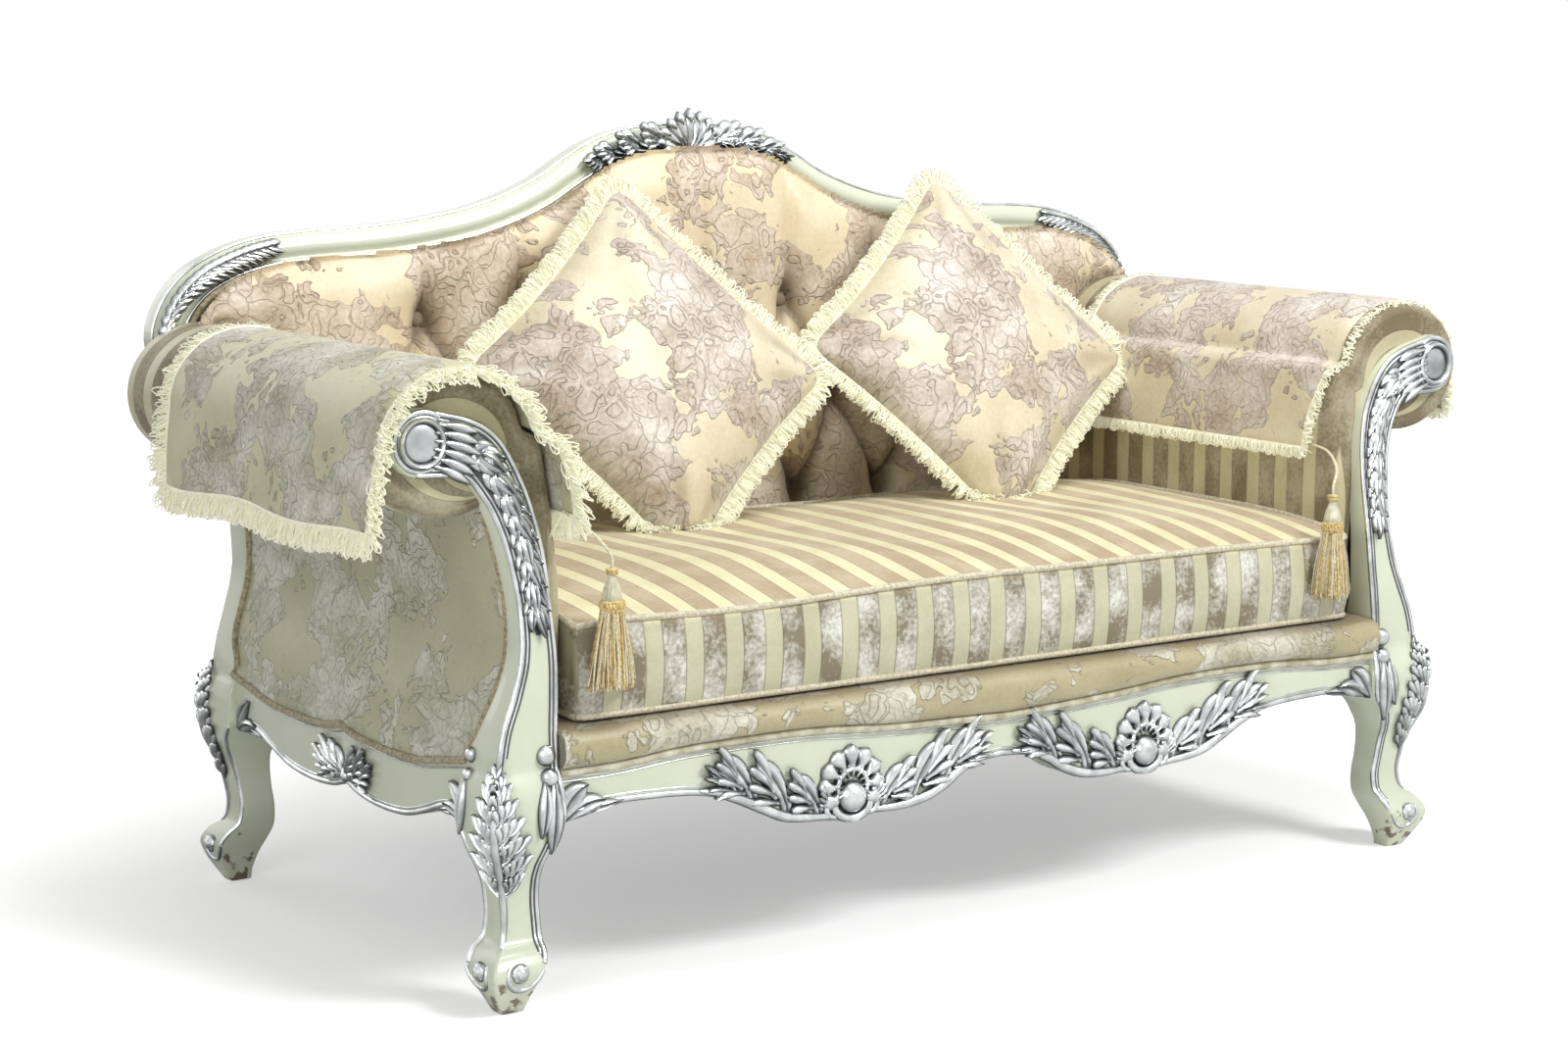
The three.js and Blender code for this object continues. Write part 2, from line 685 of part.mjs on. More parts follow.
const tuftHighZ = tuftLowZ + 2 * tuftPitchZ;
function backSink(x, z) {
  let sink = 0;
  tufts.forEach(([bx, bz]) => {
    sink = Math.max(sink, tuftDepth * Math.exp(-Math.hypot(x - bx, z - bz) / tuftReach));
    if (bz === tuftHighZ) sink = Math.max(sink, pleatFall(x, z, bx, bz, bx, topRailHeight));
    if (bz === tuftLowZ) sink = Math.max(sink, pleatFall(x, z, bx, bz, bx, seatBase));
    if (bz !== tuftLowZ) {
      [-1, 1].forEach((side) => {
        const otherX = bx + (side * tuftPitchX) / 2;
        sink = Math.max(sink, pleatFall(x, z, bx, bz, otherX, bz - tuftPitchZ));
      });
    }
  });
  return sink;
}

function armOutline() {
  const inner = smooth(
    armInnerShares.map(([s, up]) => [
      armInner + s * (rollX - rollHalfWidth - armInner), seatBase + up * (rollZ - seatBase),
    ]),
    12,
  ).map(([x, z]) => [x, z]);
  const roll = [];
  for (let i = 0; i <= rollSteps; i += 1) {
    const angle = armInnerAngle + ((armOuterAngle - 360 - armInnerAngle) * i) / rollSteps;
    const turn = THREE.MathUtils.degToRad(angle);
    roll.push([rollX + rollHalfWidth * Math.cos(turn), rollZ + rollHalfHeight * Math.sin(turn)]);
  }
  return { inner, roll };
}

const arm = armOutline();
const armTopLine = [...arm.inner, ...arm.roll];
const facingOuter = facingCentre.map(([x, z, width], i) => {
  const before = facingCentre[Math.max(i - 1, 0)];
  const after = facingCentre[Math.min(i + 1, facingCentre.length - 1)];
  const along = new THREE.Vector2(after[0] - before[0], after[1] - before[1]).normalize();
  return [z - (along.x * width) / 2, x + (along.y * width) / 2];
});
const armUnder = arm.roll[arm.roll.length - 1][1];
const panelTop = armUnder - panelThickness;
const flank = (z) => reading(facingOuter, z) - panelInset;
const flankHeights = Array.from({ length: 12 }, (_, i) => seatBase + ((panelTop - seatBase) * i) / 11);

// Front of whatever stands behind the facing, so that it seats against it
function behindFacing(rearY, low, high) {
  const face = facingSide.map(({ z, back }) => [-back + gap, z]).filter(([, z]) => z > low);
  const start = [-reading(facingBack, low) + gap, low];
  return [start, ...face, [rearY, high], [rearY, low]];
}

function armPad() {
  const outer = flankHeights.map((z) => [flank(z) - panelThickness - gap, z]).reverse();
  const section = frontOutline([...arm.inner, ...arm.roll, ...outer], -postFront, backFront - gap);
  const wide = [0, rollX + rollHalfWidth + overrun];
  const side = sideOutline(behindFacing(backFront - gap, seatBase, facingTop), ...wide);
  const channelX = scrollX - scrollRadius / 2;
  const channel = discAlongY(channelX, scrollZ, armRailRadius + gap, -postFront, postRear, 16);
  const post = rearPostRoom();
  return section.intersect(side).subtract(channel).subtract(post);
}

// Room for the rear post where it thickens into its block
function rearPostRoom() {
  const edge = stileFront.map(([z, y]) => [y - gap, z]);
  const outline = [[edge[0][0], 0], ...edge, [postRear, stileTop], [postRear, 0]];
  return sideOutline(outline, 0, rollX + rollHalfWidth + overrun);
}

function armRail() {
  const front = -(postFront - facingLean - facingDepth) + gap;
  return discAlongY(scrollX - scrollRadius / 2, scrollZ, armRailRadius, front, backFront - gap, 16);
}

function outerPanel() {
  const low = frameTop - trimDrop - gap;
  const heights = [low, frameTop + gap, ...flankHeights];
  const face = (z) => Math.max(flank(z), z <= frameTop + gap ? sideRailFace + gap + panelThickness : 0);
  const strip = [
    ...heights.map((z) => [face(z), z]),
    ...heights.map((z) => [face(z) - panelThickness, z]).reverse(),
  ];
  const trim = Array.from({ length: 15 }, (_, i) => sideFrontEnd + ((sideRearEnd - sideFrontEnd) * i) / 14);
  const front = facingSide.map(({ z, back }) => [-back + gap, z]).filter(([, z]) => z > frameTop);
  const rear = stileFront.map(([z, y]) => [y - gap, z]).reverse();
  const side = [
    ...trim.map((y) => [y, sideTrim(y)]), [sideRearEnd, frameTop],
    ...rear.reverse(), [backFront - gap, facingTop], ...front.reverse(), [sideFrontEnd, frameTop],
  ];
  const deep = [-postFront, postRear];
  return frontOutline(strip, ...deep).intersect(sideOutline(side, 0, postHalfSpan + overrun));
}

// The part of the back's outline that shows above and between the arms
const backFaceOutline = [
  ...topRailLine.filter(([, z]) => z > rollZ + rollHalfHeight),
  ...armTopLine.filter(([x]) => x < rollX).reverse(),
  [armInner, seatBase], [-armInner, seatBase],
  ...armTopLine.filter(([x]) => x < rollX).map(([x, z]) => [-x, z]),
];

const gridX = tuftPitchX / 4;
const gridZ = tuftPitchZ / 3;
const gridColumns = 2 * Math.ceil((topRailHalf - topRailWidth / 2) / gridX);
const gridLeft = (-gridColumns / 2) * gridX;
const gridLow = tuftLowZ - 4 * gridZ;
const gridRows = Math.ceil((topRailHeight - gridLow) / gridZ);

function backFaceY(x, z) {
  const rise = (z - seatBase) / (topRailHeight - seatBase);
  const flat = backSeatFace + (backTopFace - backSeatFace) * rise;
  const rim = Math.min(edgeDistance(backFaceOutline, x, z) / backRim, 1);
  const edge = (backFront - backTopFace) * (1 - Math.sqrt(1 - (1 - rim) ** 2));
  return Math.min(flat + edge + backSink(x, z), backRear - gap - borderThickness);
}

const backGrid = Array.from({ length: gridRows + 1 }, (_, r) => {
  return Array.from({ length: gridColumns + 1 }, (_, c) => {
    const x = gridLeft + c * gridX;
    const z = gridLow + r * gridZ;
    return new THREE.Vector3(x, backFaceY(x, z), z);
  });
});

// A slab whose front is the tufted face
function tuftedSlab() {
  const wide = gridColumns + 1;
  const points = [...backGrid.flat(), ...backGrid.flat().map((p) => new THREE.Vector3(p.x, backRear, p.z))];
  const behind = wide * (gridRows + 1);
  const faces = [];
  for (let r = 0; r < gridRows; r += 1) {
    for (let c = 0; c < gridColumns; c += 1) {
      const a = r * wide + c;
      const [b, d, e] = [a + 1, a + wide, a + wide + 1];
      faces.push([a, b, e], [a, e, d]);
      faces.push([a + behind, e + behind, b + behind], [a + behind, d + behind, e + behind]);
    }
  }
  const rim = [];
  for (let c = 0; c < gridColumns; c += 1) rim.push(c);
  for (let r = 0; r < gridRows; r += 1) rim.push(r * wide + gridColumns);
  for (let c = gridColumns; c > 0; c -= 1) rim.push(gridRows * wide + c);
  for (let r = gridRows; r > 0; r -= 1) rim.push(r * wide);
  rim.forEach((a, i) => {
    const b = rim[(i + 1) % rim.length];
    faces.push([b, a, a + behind], [b, a + behind, b + behind]);
  });
  return solidOf(closedMesh(points, faces));
}

// The room that both arms take at the ends of the back
function armRoom() {
  const reach = overrun + topRailHalf;
  const clearance = 2 * gap;
  const upper = armTopLine.map(([x, z]) => [x - clearance, z + clearance]);
  const low = legHeight - overrun;
  const beside = [[armInner - clearance, low], ...upper, [reach, armUnder], [reach, low]];
  const mirrored = beside.map(([x, z]) => [-x, z]);
  const deep = [0, backRear + overrun];
  return frontOutline(beside, ...deep).add(frontOutline(mirrored, ...deep));
}

function backUpholstery() {
  const reach = overrun + topRailHalf;
  const below = box(-reach, reach, 0, postRear, 0, seatBase);
  const flat = insideBack(0, backRear);
  return tuftedSlab().add(tuftButtons()).intersect(flat).subtract(armRoom()).subtract(below);
}

// Reading of the faceted tufted face, so that the buttons seat on the facets
function facetY(x, z) {
  const c = Math.min(Math.max(Math.floor((x - gridLeft) / gridX), 0), gridColumns - 1);
  const r = Math.min(Math.max(Math.floor((z - gridLow) / gridZ), 0), gridRows - 1);
  const u = (x - gridLeft) / gridX - c;
  const v = (z - gridLow) / gridZ - r;
  const [a, b, d, e] = [backGrid[r][c].y, backGrid[r][c + 1].y, backGrid[r + 1][c].y, backGrid[r + 1][c + 1].y];
  return u > v ? a + u * (b - a) + v * (e - b) : a + v * (d - a) + u * (e - d);
}

function tuftButtons() {
  const profile = [[0, 0], [1, 0], [0, 1]];
  const solids = tufts.map(([x, z]) => {
    let seat = facetY(x, z);
    for (let i = 0; i < 16; i += 1) {
      const turn = (i * Math.PI) / 8;
      profile.forEach(([r, h]) => {
        const y = facetY(x + r * buttonRadius * Math.cos(turn), z + r * buttonRadius * Math.sin(turn));
        seat = Math.min(seat, y + h * buttonHeight);
      });
    }
    const button = lathe(profile.map(([r, h]) => [r * buttonRadius, h * buttonHeight]), 6);
    return solidOf(button.rotateX(Math.PI).translate(x, seat + buttonHeight / 2, z));
  });
  return joined(solids);
}

// Beech frame inside the back: a bottom board and two uprights to the top rail
function backFrame() {
  const front = backRear + 2 * gap + webbingThickness;
  const rear = front + backBoard;
  const whole = insideBack(front, rear);
  const reach = topRailHalf;
  const board = box(-reach, reach, front, rear, seatBase, deckTop);
  const uprights = [-1, 1].map((side) => {
    const x = side * uprightX;
    return box(x - uprightWidth / 2, x + uprightWidth / 2, front, rear, seatBase, topRailHeight);
  });
  return whole.intersect(joined([board, ...uprights]));
}

function backWebbing() {
  const straps = [];
  const count = 4;
  for (let i = 0; i < count; i += 1) {
    const z = deckTop + ((tuftHighZ - deckTop) * (i + 0.5)) / count;
    straps.push(box(-topRailHalf, topRailHalf, 0, postRear, z - backStrapWidth / 2, z + backStrapWidth / 2));
  }
  for (let i = 0; i < count; i += 1) {
    const x = armInner * ((2 * (i + 0.5)) / count - 1);
    straps.push(box(x - backStrapWidth / 2, x + backStrapWidth / 2, 0, postRear, seatBase, topRailHeight));
  }
  const layer = insideBack(backRear + gap, backRear + gap + webbingThickness);
  return layer.intersect(joined(straps)).subtract(armRoom());
}

function outsideBack() {
  const front = backRear + 3 * gap + webbingThickness + backBoard;
  return insideBack(front, front + outsideCoverThickness);
}

// Cushions

const smoothStep = (share) => {
  const s = Math.min(Math.max(share, 0), 1);
  return s * s * (3 - 2 * s);
};

function cushionTop(u, v) {
  const edge = cushionCorner + cushionEdgeRise * (1 - u ** 4) * (0.5 - 0.5 * v);
  const across = Math.sqrt(Math.max(1 - u * u, 0));
  const along = Math.sqrt(Math.max(1 - v * v, 0));
  return edge + (cushionCrown + cushionEdgeRise * (0.5 + 0.5 * v)) * across * along;
}

function seatCushion() {
  const depth = cushionFront + cushionRear;
  const middle = (cushionRear - cushionFront) / 2;
  const geometry = new THREE.BoxGeometry(2, 2, 2, 18, 10, 3);
  return moved(geometry, (p) => {
    const [u, v, w] = [p.x, reading(cushionRowShares, p.y), p.z];
    const low = deckTop + gap;
    const top = cushionTop(u, v);
    const bulge = cushionBulge * (1 - w * w);
    let x = u * (cushionHalfWidth - cushionDraw * (1 - v * v) * (1 - Math.abs(w)));
    let y = (v * depth) / 2;
    const cx = Math.abs(x) - (cushionHalfWidth - cushionRound);
    const cy = Math.abs(y) - (depth / 2 - cushionRound);
    if (cx > 0 && cy > 0) {
      const pull = Math.max(cx, cy) / Math.hypot(cx, cy);
      x = Math.sign(x) * (cushionHalfWidth - cushionRound + cx * pull);
      y = Math.sign(y) * (depth / 2 - cushionRound + cy * pull);
    }
    if (v === -1) y -= bulge;
    y += middle;
    const ear = smoothStep((-y - cushionFront + cushionEarDepth) / cushionEarDepth);
    x += Math.sign(u) * cushionEar * ear * smoothStep((Math.abs(u) - 0.8) / 0.2);
    p.set(x, y, low + ((w + 1) / 2) * (top - low));
  });
}

function pillow() {
  const n = pillowSteps;
  const points = [];
  const at = (i, j, side) => {
    const u = (2 * i) / n - 1;
    const v = (2 * j) / n - 1;
    const rim = Math.abs(u) === 1 || Math.abs(v) === 1;
    const fill = Math.sqrt(Math.max((1 - u * u) * (1 - v * v), 0)) ** 0.8;
    const half = pillowSeam / 2 + (pillowThickness / 2 - pillowSeam / 2) * fill;
    const x = u * (pillowHalf - pillowDraw * (1 - v * v));
    const z = v * (pillowHalf - pillowDraw * (1 - u * u));
    return new THREE.Vector3(x, side * (rim ? pillowSeam / 2 : half), z);
  };
  [-1, 1].forEach((side) => {
    for (let j = 0; j <= n; j += 1) for (let i = 0; i <= n; i += 1) points.push(at(i, j, side));
  });
  const behind = (n + 1) * (n + 1);
  const faces = [];
  for (let j = 0; j < n; j += 1) {
    for (let i = 0; i < n; i += 1) {
      const a = j * (n + 1) + i;
      const [b, d, e] = [a + 1, a + n + 1, a + n + 2];
      faces.push([a, b, e], [a, e, d]);
      faces.push([a + behind, e + behind, b + behind], [a + behind, d + behind, e + behind]);
    }
  }
  for (let i = 0; i < n; i += 1) {
    const rims = [[i, i + 1], [i * (n + 1) + n, (i + 1) * (n + 1) + n], [n * (n + 1) + i + 1, n * (n + 1) + i],
      [(i + 1) * (n + 1), i * (n + 1)]];
    rims.forEach(([a, b]) => faces.push([b, a, a + behind], [b, a + behind, b + behind]));
  }
  return closedMesh(points, faces);
}

// Each pillow stands on a corner on the seat and leans towards the back
function addPillow(side, share) {
  const geometry = pillow().rotateY(Math.PI / 4 + THREE.MathUtils.degToRad(pillowRoll));
  geometry.rotateX(-THREE.MathUtils.degToRad(pillowLean));
  geometry.translate(share * cushionHalfWidth, backSeatFace - pillowForward, 0);
  const depth = (cushionRear + cushionFront) / 2;
  let lift = -Infinity;
  moved(geometry, (p) => {
    const rest = cushionTop(p.x / cushionHalfWidth, Math.min((p.y - cushionRear + depth) / depth, 1));
    lift = Math.max(lift, rest - p.z);
  });
  addPiece(`pillow_${side}`, geometry.translate(0, 0, lift + gap), damask);
}

// Covers laid over the arm rolls

function coverLine({ innerDrop, outerDrop }) {
  const [inner, outer] = [rollZ - innerDrop, rollZ - outerDrop];
  const body = [...arm.inner.filter(([, z]) => z > inner), ...arm.roll.filter(([, z]) => z > rollZ)];
  const path = [[reading(arm.inner.map(([x, z]) => [z, x]), inner), inner], ...body];
  path.push([rollX + rollHalfWidth, rollZ], [coverHangX - clothThickness, (rollZ + outer) / 2]);
  path.push([coverHangX - clothThickness, outer]);
  return path;
}

function offsetLine(path, distance) {
  return path.map(([x, z], i) => {
    const before = path[Math.max(i - 1, 0)];
    const after = path[Math.min(i + 1, path.length - 1)];
    const normal = new THREE.Vector2(before[1] - after[1], after[0] - before[0]).normalize();
    return [x + normal.x * distance, z + normal.y * distance];
  });
}

function armCover(cover) {
  const path = coverLine(cover);
  const underside = offsetLine(path, 2 * gap);
  const face = offsetLine(path, 2 * gap + clothThickness);
  const rings = [];
  for (let j = 0; j <= coverSteps; j += 1) {
    const share = j / coverSteps;
    const y = -cover.front + share * (cover.front + cover.rear);
    const wave = foldDepth * Math.sin(share * Math.PI * 5);
    const ring = [...underside, ...face.reverse()].map(([x, z]) => {
      const drop = smoothStep((rollZ - z) / cover.outerDrop);
      const fold = x > rollX ? wave * drop + foldDepth * drop : 0;
      return new THREE.Vector3(x + fold, y, z);
    });
    face.reverse();
    rings.push(ring);
  }
  const count = path.length;
  const ends = [];
  for (let k = 0; k + 1 < count; k += 1) {
    const [a, b, c, d] = [k, k + 1, 2 * count - 2 - k, 2 * count - 1 - k];
    ends.push([a, b, c], [a, c, d]);
  }
  return loft(rings, ends);
}

// Where a tassel hangs from its cover's inner corner
function tasselPlace({ innerDrop }, { inset, drop }, side) {
  return { x: side * (armInner - inset), top: rollZ - innerDrop - drop };
}

function tassel({ x, top }) {
  const profile = tasselShares.map(([r, down]) => [r * tasselRadius, -down * tasselLength]).reverse();
  return lathe(profile, 14).rotateX(Math.PI / 2).scale(1, tasselFlat, 1).translate(x, -tasselY, top);
}

// From the cover's front corner down to the tassel's head
function cordPath(cover, { x, top }, side) {
  const [hemX, hemZ] = coverLine(cover)[0];
  const start = [side * (hemX - clothThickness / 2), -cover.front - cordRadius / 3, hemZ + 2 * cordRadius];
  const end = [x, -tasselY, top + gap];
  const mix = (a, b, share) => a + (b - a) * share;
  const lift = start[2] - end[2];
  return [
    start,
    [mix(start[0], end[0], 0.06), mix(start[1], end[1], 0.28), start[2] - 0.08 * lift],
    [mix(start[0], end[0], 0.6), mix(start[1], end[1], 0.8), start[2] - 0.42 * lift],
    [end[0], end[1], end[2] + 0.2 * lift],
    end,
  ];
}

function tasselCord(points) {
  const curve = new THREE.CatmullRomCurve3(points.map((p) => new THREE.Vector3(...p)));
  const circle = new THREE.Shape().absarc(0, 0, cordRadius, 0, 2 * Math.PI);
  return new THREE.ExtrudeGeometry(circle, { steps: 14, curveSegments: 4, extrudePath: curve });
}

// Carved ornament: every leaf has a flat back on Y = 0 and its relief towards -Y

function leaf(points, widths, relief = leafRelief) {
  const rings = points.map(([x, z], i) => {
    const before = points[Math.max(i - 1, 0)];
    const after = points[Math.min(i + 1, points.length - 1)];
    const along = new THREE.Vector2(after[0] - before[0], after[1] - before[1]).normalize();
    const half = widths[i] / 2;
    const place = (side, y) => new THREE.Vector3(x - side * along.y * half, y, z + side * along.x * half);
    const crest = relief * Math.min(1, 0.35 + widths[i] / Math.max(...widths));
    return [place(-1, 0), place(1, 0), place(0, -crest)];
  });
  return solidOf(loft(rings));
}

// Points and widths of a leaf written as shares of one length
function leafFrom(rows, size, x, z, flip = 1) {
  const points = rows.map(([a, b]) => [x + flip * a * size, z + b * size]);
  return leaf(points, rows.map(([, , w]) => w * size));
}

function dome(x, z, radius, height, sides = 10) {
  const shares = [[0, 0], [1, 0], [0.92, 0.45], [0.6, 0.85], [0, 1]];
  const profile = shares.map(([r, h]) => [r * radius, h * height]);
  return solidOf(lathe(profile, sides).rotateX(Math.PI).translate(x, 0, z));
}

// A fan of tapering flutes round a boss
function shell(x, z, radius, flutes, spread) {
  const ribs = [];
  for (let i = 0; i < flutes; i += 1) {
    const angle = THREE.MathUtils.degToRad(90 + spread * (i / (flutes - 1) - 0.5));
    const [cos, sin] = [Math.cos(angle), Math.sin(angle)];
    const width = (2.3 * radius * Math.sin(THREE.MathUtils.degToRad(spread) / (2 * flutes)));
    const points = [0.2, 0.75, 0.95, 1.05].map((s) => [x + s * radius * cos, z + s * radius * sin]);
    ribs.push(leaf(points, [0.3, 0.9, 0.85, 0.35].map((s) => s * width), leafRelief * 1.3));
  }
  return joined(ribs);
}

const sprayShares = [
  [
    [0.06, -0.13, 0.05], [0.22, -0.15, 0.09], [0.45, -0.08, 0.1],
    [0.68, 0.04, 0.11], [0.88, 0.15, 0.1], [1, 0.13, 0.04],
  ],
  [[0.2, -0.12, 0.05], [0.2, 0, 0.1], [0.3, 0.13, 0.04]],
  [[0.36, -0.1, 0.06], [0.4, 0.04, 0.1], [0.52, 0.18, 0.04]],
  [[0.58, -0.02, 0.06], [0.62, 0.1, 0.1], [0.76, 0.22, 0.04]],
];

function apronCarving() {
  const [apronShellX, apronShellZ] = [apronShellShare * railEnd, apronLow + apronShellRise];
  const pieces = [shell(apronShellX, apronShellZ, apronShellRadius, 7, apronShellSpread)];
  pieces.push(dome(apronShellX, apronShellZ, apronShellRadius * 0.3, leafRelief * 2.2, 12));
  [-1, 1].forEach((flip) => {
    sprayShares.forEach((rows) => pieces.push(leafFrom(rows, apronSpray, apronShellX, apronShellZ, flip)));
  });
  const floor = box(0, railEnd, -overrun, 0, apronLow - overrun, frameTop);
  const whole = geometryOf(joined(pieces).intersect(floor));
  return moved(whole, (p) => {
    p.y += frontRailFace(p.x) - gap;
  });
}

const crestShares = [
  [[0.1, -0.1, 0.16], [0.35, 0.02, 0.2], [0.62, -0.04, 0.17], [0.85, -0.12, 0.1], [1, -0.16, 0.03]],
  [[0.14, 0.02, 0.08], [0.3, 0.14, 0.12], [0.48, 0.2, 0.04]],
  [[0.36, 0.06, 0.08], [0.52, 0.12, 0.1], [0.68, 0.12, 0.04]],
];

function crestCarving() {
  const crestShellZ = topRailHeight + crestShellRise;
  const pieces = [shell(0, crestShellZ - crestShellRadius * 0.3, crestShellRadius, 7, crestShellSpread)];
  pieces.push(dome(0, crestShellZ - crestShellRadius * 0.3, crestShellRadius * 0.3, leafRelief * 2, 12));
  [-1, 1].forEach((flip) => {
    crestShares.forEach((rows) => pieces.push(leafFrom(rows, crestHalf, 0, crestShellZ, flip)));
  });
  const half = crestHalf + overrun;
  const lip = topRailHeight - topRailWidth / 2 + 2 * gap;
  const below = box(-half, half, -overrun, overrun, 0, lip);
  return geometryOf(joined(pieces).subtract(below)).translate(0, backFront - gap, 0);
}

// Acanthus running round the shoulder of the top rail
function shoulderCarving() {
  const [from, to, count] = [shoulderFromShare, shoulderToShare, 9];
  const rings = [];
  for (let i = 0; i <= count; i += 1) {
    const at = topRailCurve.getPointAt(from + ((to - from) * i) / count);
    const along = topRailCurve.getTangentAt(from + ((to - from) * i) / count);
    const taper = Math.sin((Math.PI * (i + 0.6)) / (count + 1.2));
    const half = topRailWidth * (0.2 + 0.2 * taper + 0.06 * (i % 2));
    const raise = leafRelief * (0.5 + 0.5 * taper + 0.3 * (i % 2));
    const place = (side, forward) => new THREE.Vector3(
      at.x + side * along.z * half, backFront - gap - forward, at.z - side * along.x * half,
    );
    const crown = [place(0.85, raise * 0.6), place(0, raise), place(-0.85, raise * 0.6)];
    rings.push([place(-1, 0), place(1, 0), ...crown]);
  }
  return loft(rings);
}

const acanthusShares = [
  [[0.08, -0.04, 0.12], [0.3, 0.1, 0.2], [0.55, 0.2, 0.2], [0.85, 0.42, 0.12], [0.95, 0.55, 0.04]],
  [[0.12, -0.12, 0.1], [0.45, -0.1, 0.2], [0.8, -0.02, 0.2], [1, 0.1, 0.04]],
];

// A pair of acanthus leaves back to back on the side rail, carved flat and set on its face
function sideCarving() {
  const size = sideRailDepth * 0.75;
  const low = sideRailEdge(sideMiddle) + sideRailDepth * 0.13;
  const pieces = [dome(0, low, size * 0.12, leafRelief)];
  [-1, 1].forEach((flip) => {
    acanthusShares.forEach((rows) => pieces.push(leafFrom(rows, size, 0, low, flip)));
  });
  const geometry = geometryOf(joined(pieces)).rotateZ(Math.PI / 2);
  return geometry.translate(sideRailFace + gap, sideMiddle, 0);
}

// A feathered leaf folded over the knee's arris
const kneeLeafLow = 0.28;
const kneeLeafReach = 30;
function kneeLeaf(face, away) {
  const stations = legOuter.filter(([, z]) => z > kneeLeafLow * legHeight);
  const last = stations.length - 1;
  return loft(stations.map(([out, z], i) => {
    const share = i / last;
    const reach = kneeLeafReach * (0.16 + 0.84 * Math.sin(Math.PI * Math.min(share * 0.62 + 0.06, 1)));
    const wide = reach * (i % 2 ? 1 : 0.62) * (i === last ? 0.3 : 1);
    const thick = leafRelief * (i === 0 || i === last ? 0.3 : 0.75);
    const [x, y] = [postHalfSpan + out, face + out];
    const inner = 2 * gap;
    return [
      [x + inner, y + inner], [x - wide, y + inner], [x - wide, y + inner + thick * 0.5],
      [x + inner + thick, y + inner + thick], [x + inner + thick * 0.5, y - wide], [x + inner, y - wide],
    ].map(([px, py]) => new THREE.Vector3(px, away * py, z));
  }));
}

// Overlapping leaves up the face of the arm facing, between its silvered edges
function leafBand() {
  const [low, high] = [0.32, 0.86];
  const centre = facingCentre.map(([x, z, width]) => [z, x, width]);
  const heights = facingSide.map(({ z }) => z).filter((z) => {
    const share = (z - legHeight) / (scrollZ - legHeight);
    return share > low && share < high;
  });
  const widths = centre.map(([z, , width]) => [z, width]);
  const middles = centre.map(([z, x]) => [z, x]);
  return loft(heights.map((z, i) => {
    const half = reading(widths, z) * (0.2 + 0.06 * (i % 2)) * (i === 0 || i === heights.length - 1 ? 0.3 : 1);
    const x = reading(middles, z);
    const y = -reading(facingFace, z) - gap;
    const raise = leafRelief * (0.5 + 0.3 * (i % 2));
    const crown = [[x + half * 0.85, y - raise * 0.6], [x, y - raise], [x - half * 0.85, y - raise * 0.6]];
    return [[x - half, y], [x + half, y], ...crown]
      .map(([px, py]) => new THREE.Vector3(px, py, z));
  }));
}

function scrollButton() {
  const [r, h] = [scrollButtonRadius, scrollButtonHeight];
  const shares = [[0, 0], [1, 0], [1, 0.45], [0.88, 0.8], [0.74, 0.35], [0.66, 0.6], [0, 1]];
  const geometry = lathe(shares.map(([across, up]) => [across * r, up * h]), 20).rotateX(Math.PI);
  return geometry.translate(scrollX, -(postFront - facingLean) - gap, scrollZ);
}

// What is left of an ornament in front of the piece that carries it
function seatedInFront(ornament, carrier) {
  return ornament.subtract(solidOf(geometryOf(carrier).translate(0, -gap, 0)));
}

// Ball, bulb and leaf on the block's face, where post meets rail
function dropOrnament() {
  const r = knobRadius;
  const top = legHeight + r;
  const set = [
    dome(0, top, r, r),
    dome(0, top - 1.5 * r, r * 0.8, r * 0.8),
    leaf([[0, top - 2 * r], [0, top - 4 * r], [r * 0.4, blockLow]], [r * 0.8, 1.7 * r, r * 0.3]),
  ];
  const flat = geometryOf(joined(set)).translate(railEnd + 2 * r, -postFront, 0);
  const bulge = reading(legOuter.map(([out, z]) => [z, out]), top - 3 * r);
  return seatedInFront(solidOf(flat.translate(0, -bulge + leafRelief / 3, 0)), frontPost());
}

// Bosses at the ends of the foot's scroll, on its two outer faces
function footButtons(face, away) {
  const reach = reading(legOuter.map(([out, z]) => [z, out]), footButtonZ);
  const inset = footButtonRadius * 2;
  const seat = footButtonRadius / 4;
  const boss = () => geometryOf(dome(0, footButtonZ, footButtonRadius, footButtonRadius * 0.75, 12));
  const turned = boss().rotateZ(away > 0 ? Math.PI : 0);
  const onFace = turned.translate(postHalfSpan - inset, away * (face + reach - seat), 0);
  const onSide = boss().rotateZ(Math.PI / 2).translate(postHalfSpan + reach - seat, away * (face - inset), 0);
  return solidOf(onFace).add(solidOf(onSide));
}

// The frame
addPair('front_post', frontPost(), lacquer);
addPair('rear_post', rearPost(), lacquer);
addPiece('front_rail', frontRail(), lacquer);
addPair('side_rail', sideRail(), lacquer);
addPiece('rear_rail', rearRail(), lacquer);
addPiece('top_rail', topRail(), lacquer);
['front', 'rear'].forEach((end) => {
  addPair(`${end}_corner_block`, cornerBlock(end), beech);
  addPair(`${end}_corner_bolt`, cornerBolt(end), steel);
});
addPair('arm_rail', armRail(), beech);
addPiece('back_frame', backFrame(), beech);

// Carving
addPiece('crest_carving', crestCarving(), silver);
addPair('shoulder_carving', shoulderCarving(), silver);
addPair('apron_carving', apronCarving(), silver);
addPair('side_carving', sideCarving(), silver);
addPair('front_knee_leaf', kneeLeaf(postFront, -1), silver);
addPair('rear_knee_leaf', kneeLeaf(postRear, 1), silver);
addPair('leaf_band', leafBand(), silver);
addPair('scroll_button', scrollButton(), silver);
addPair('drop_ornament', dropOrnament(), silver);

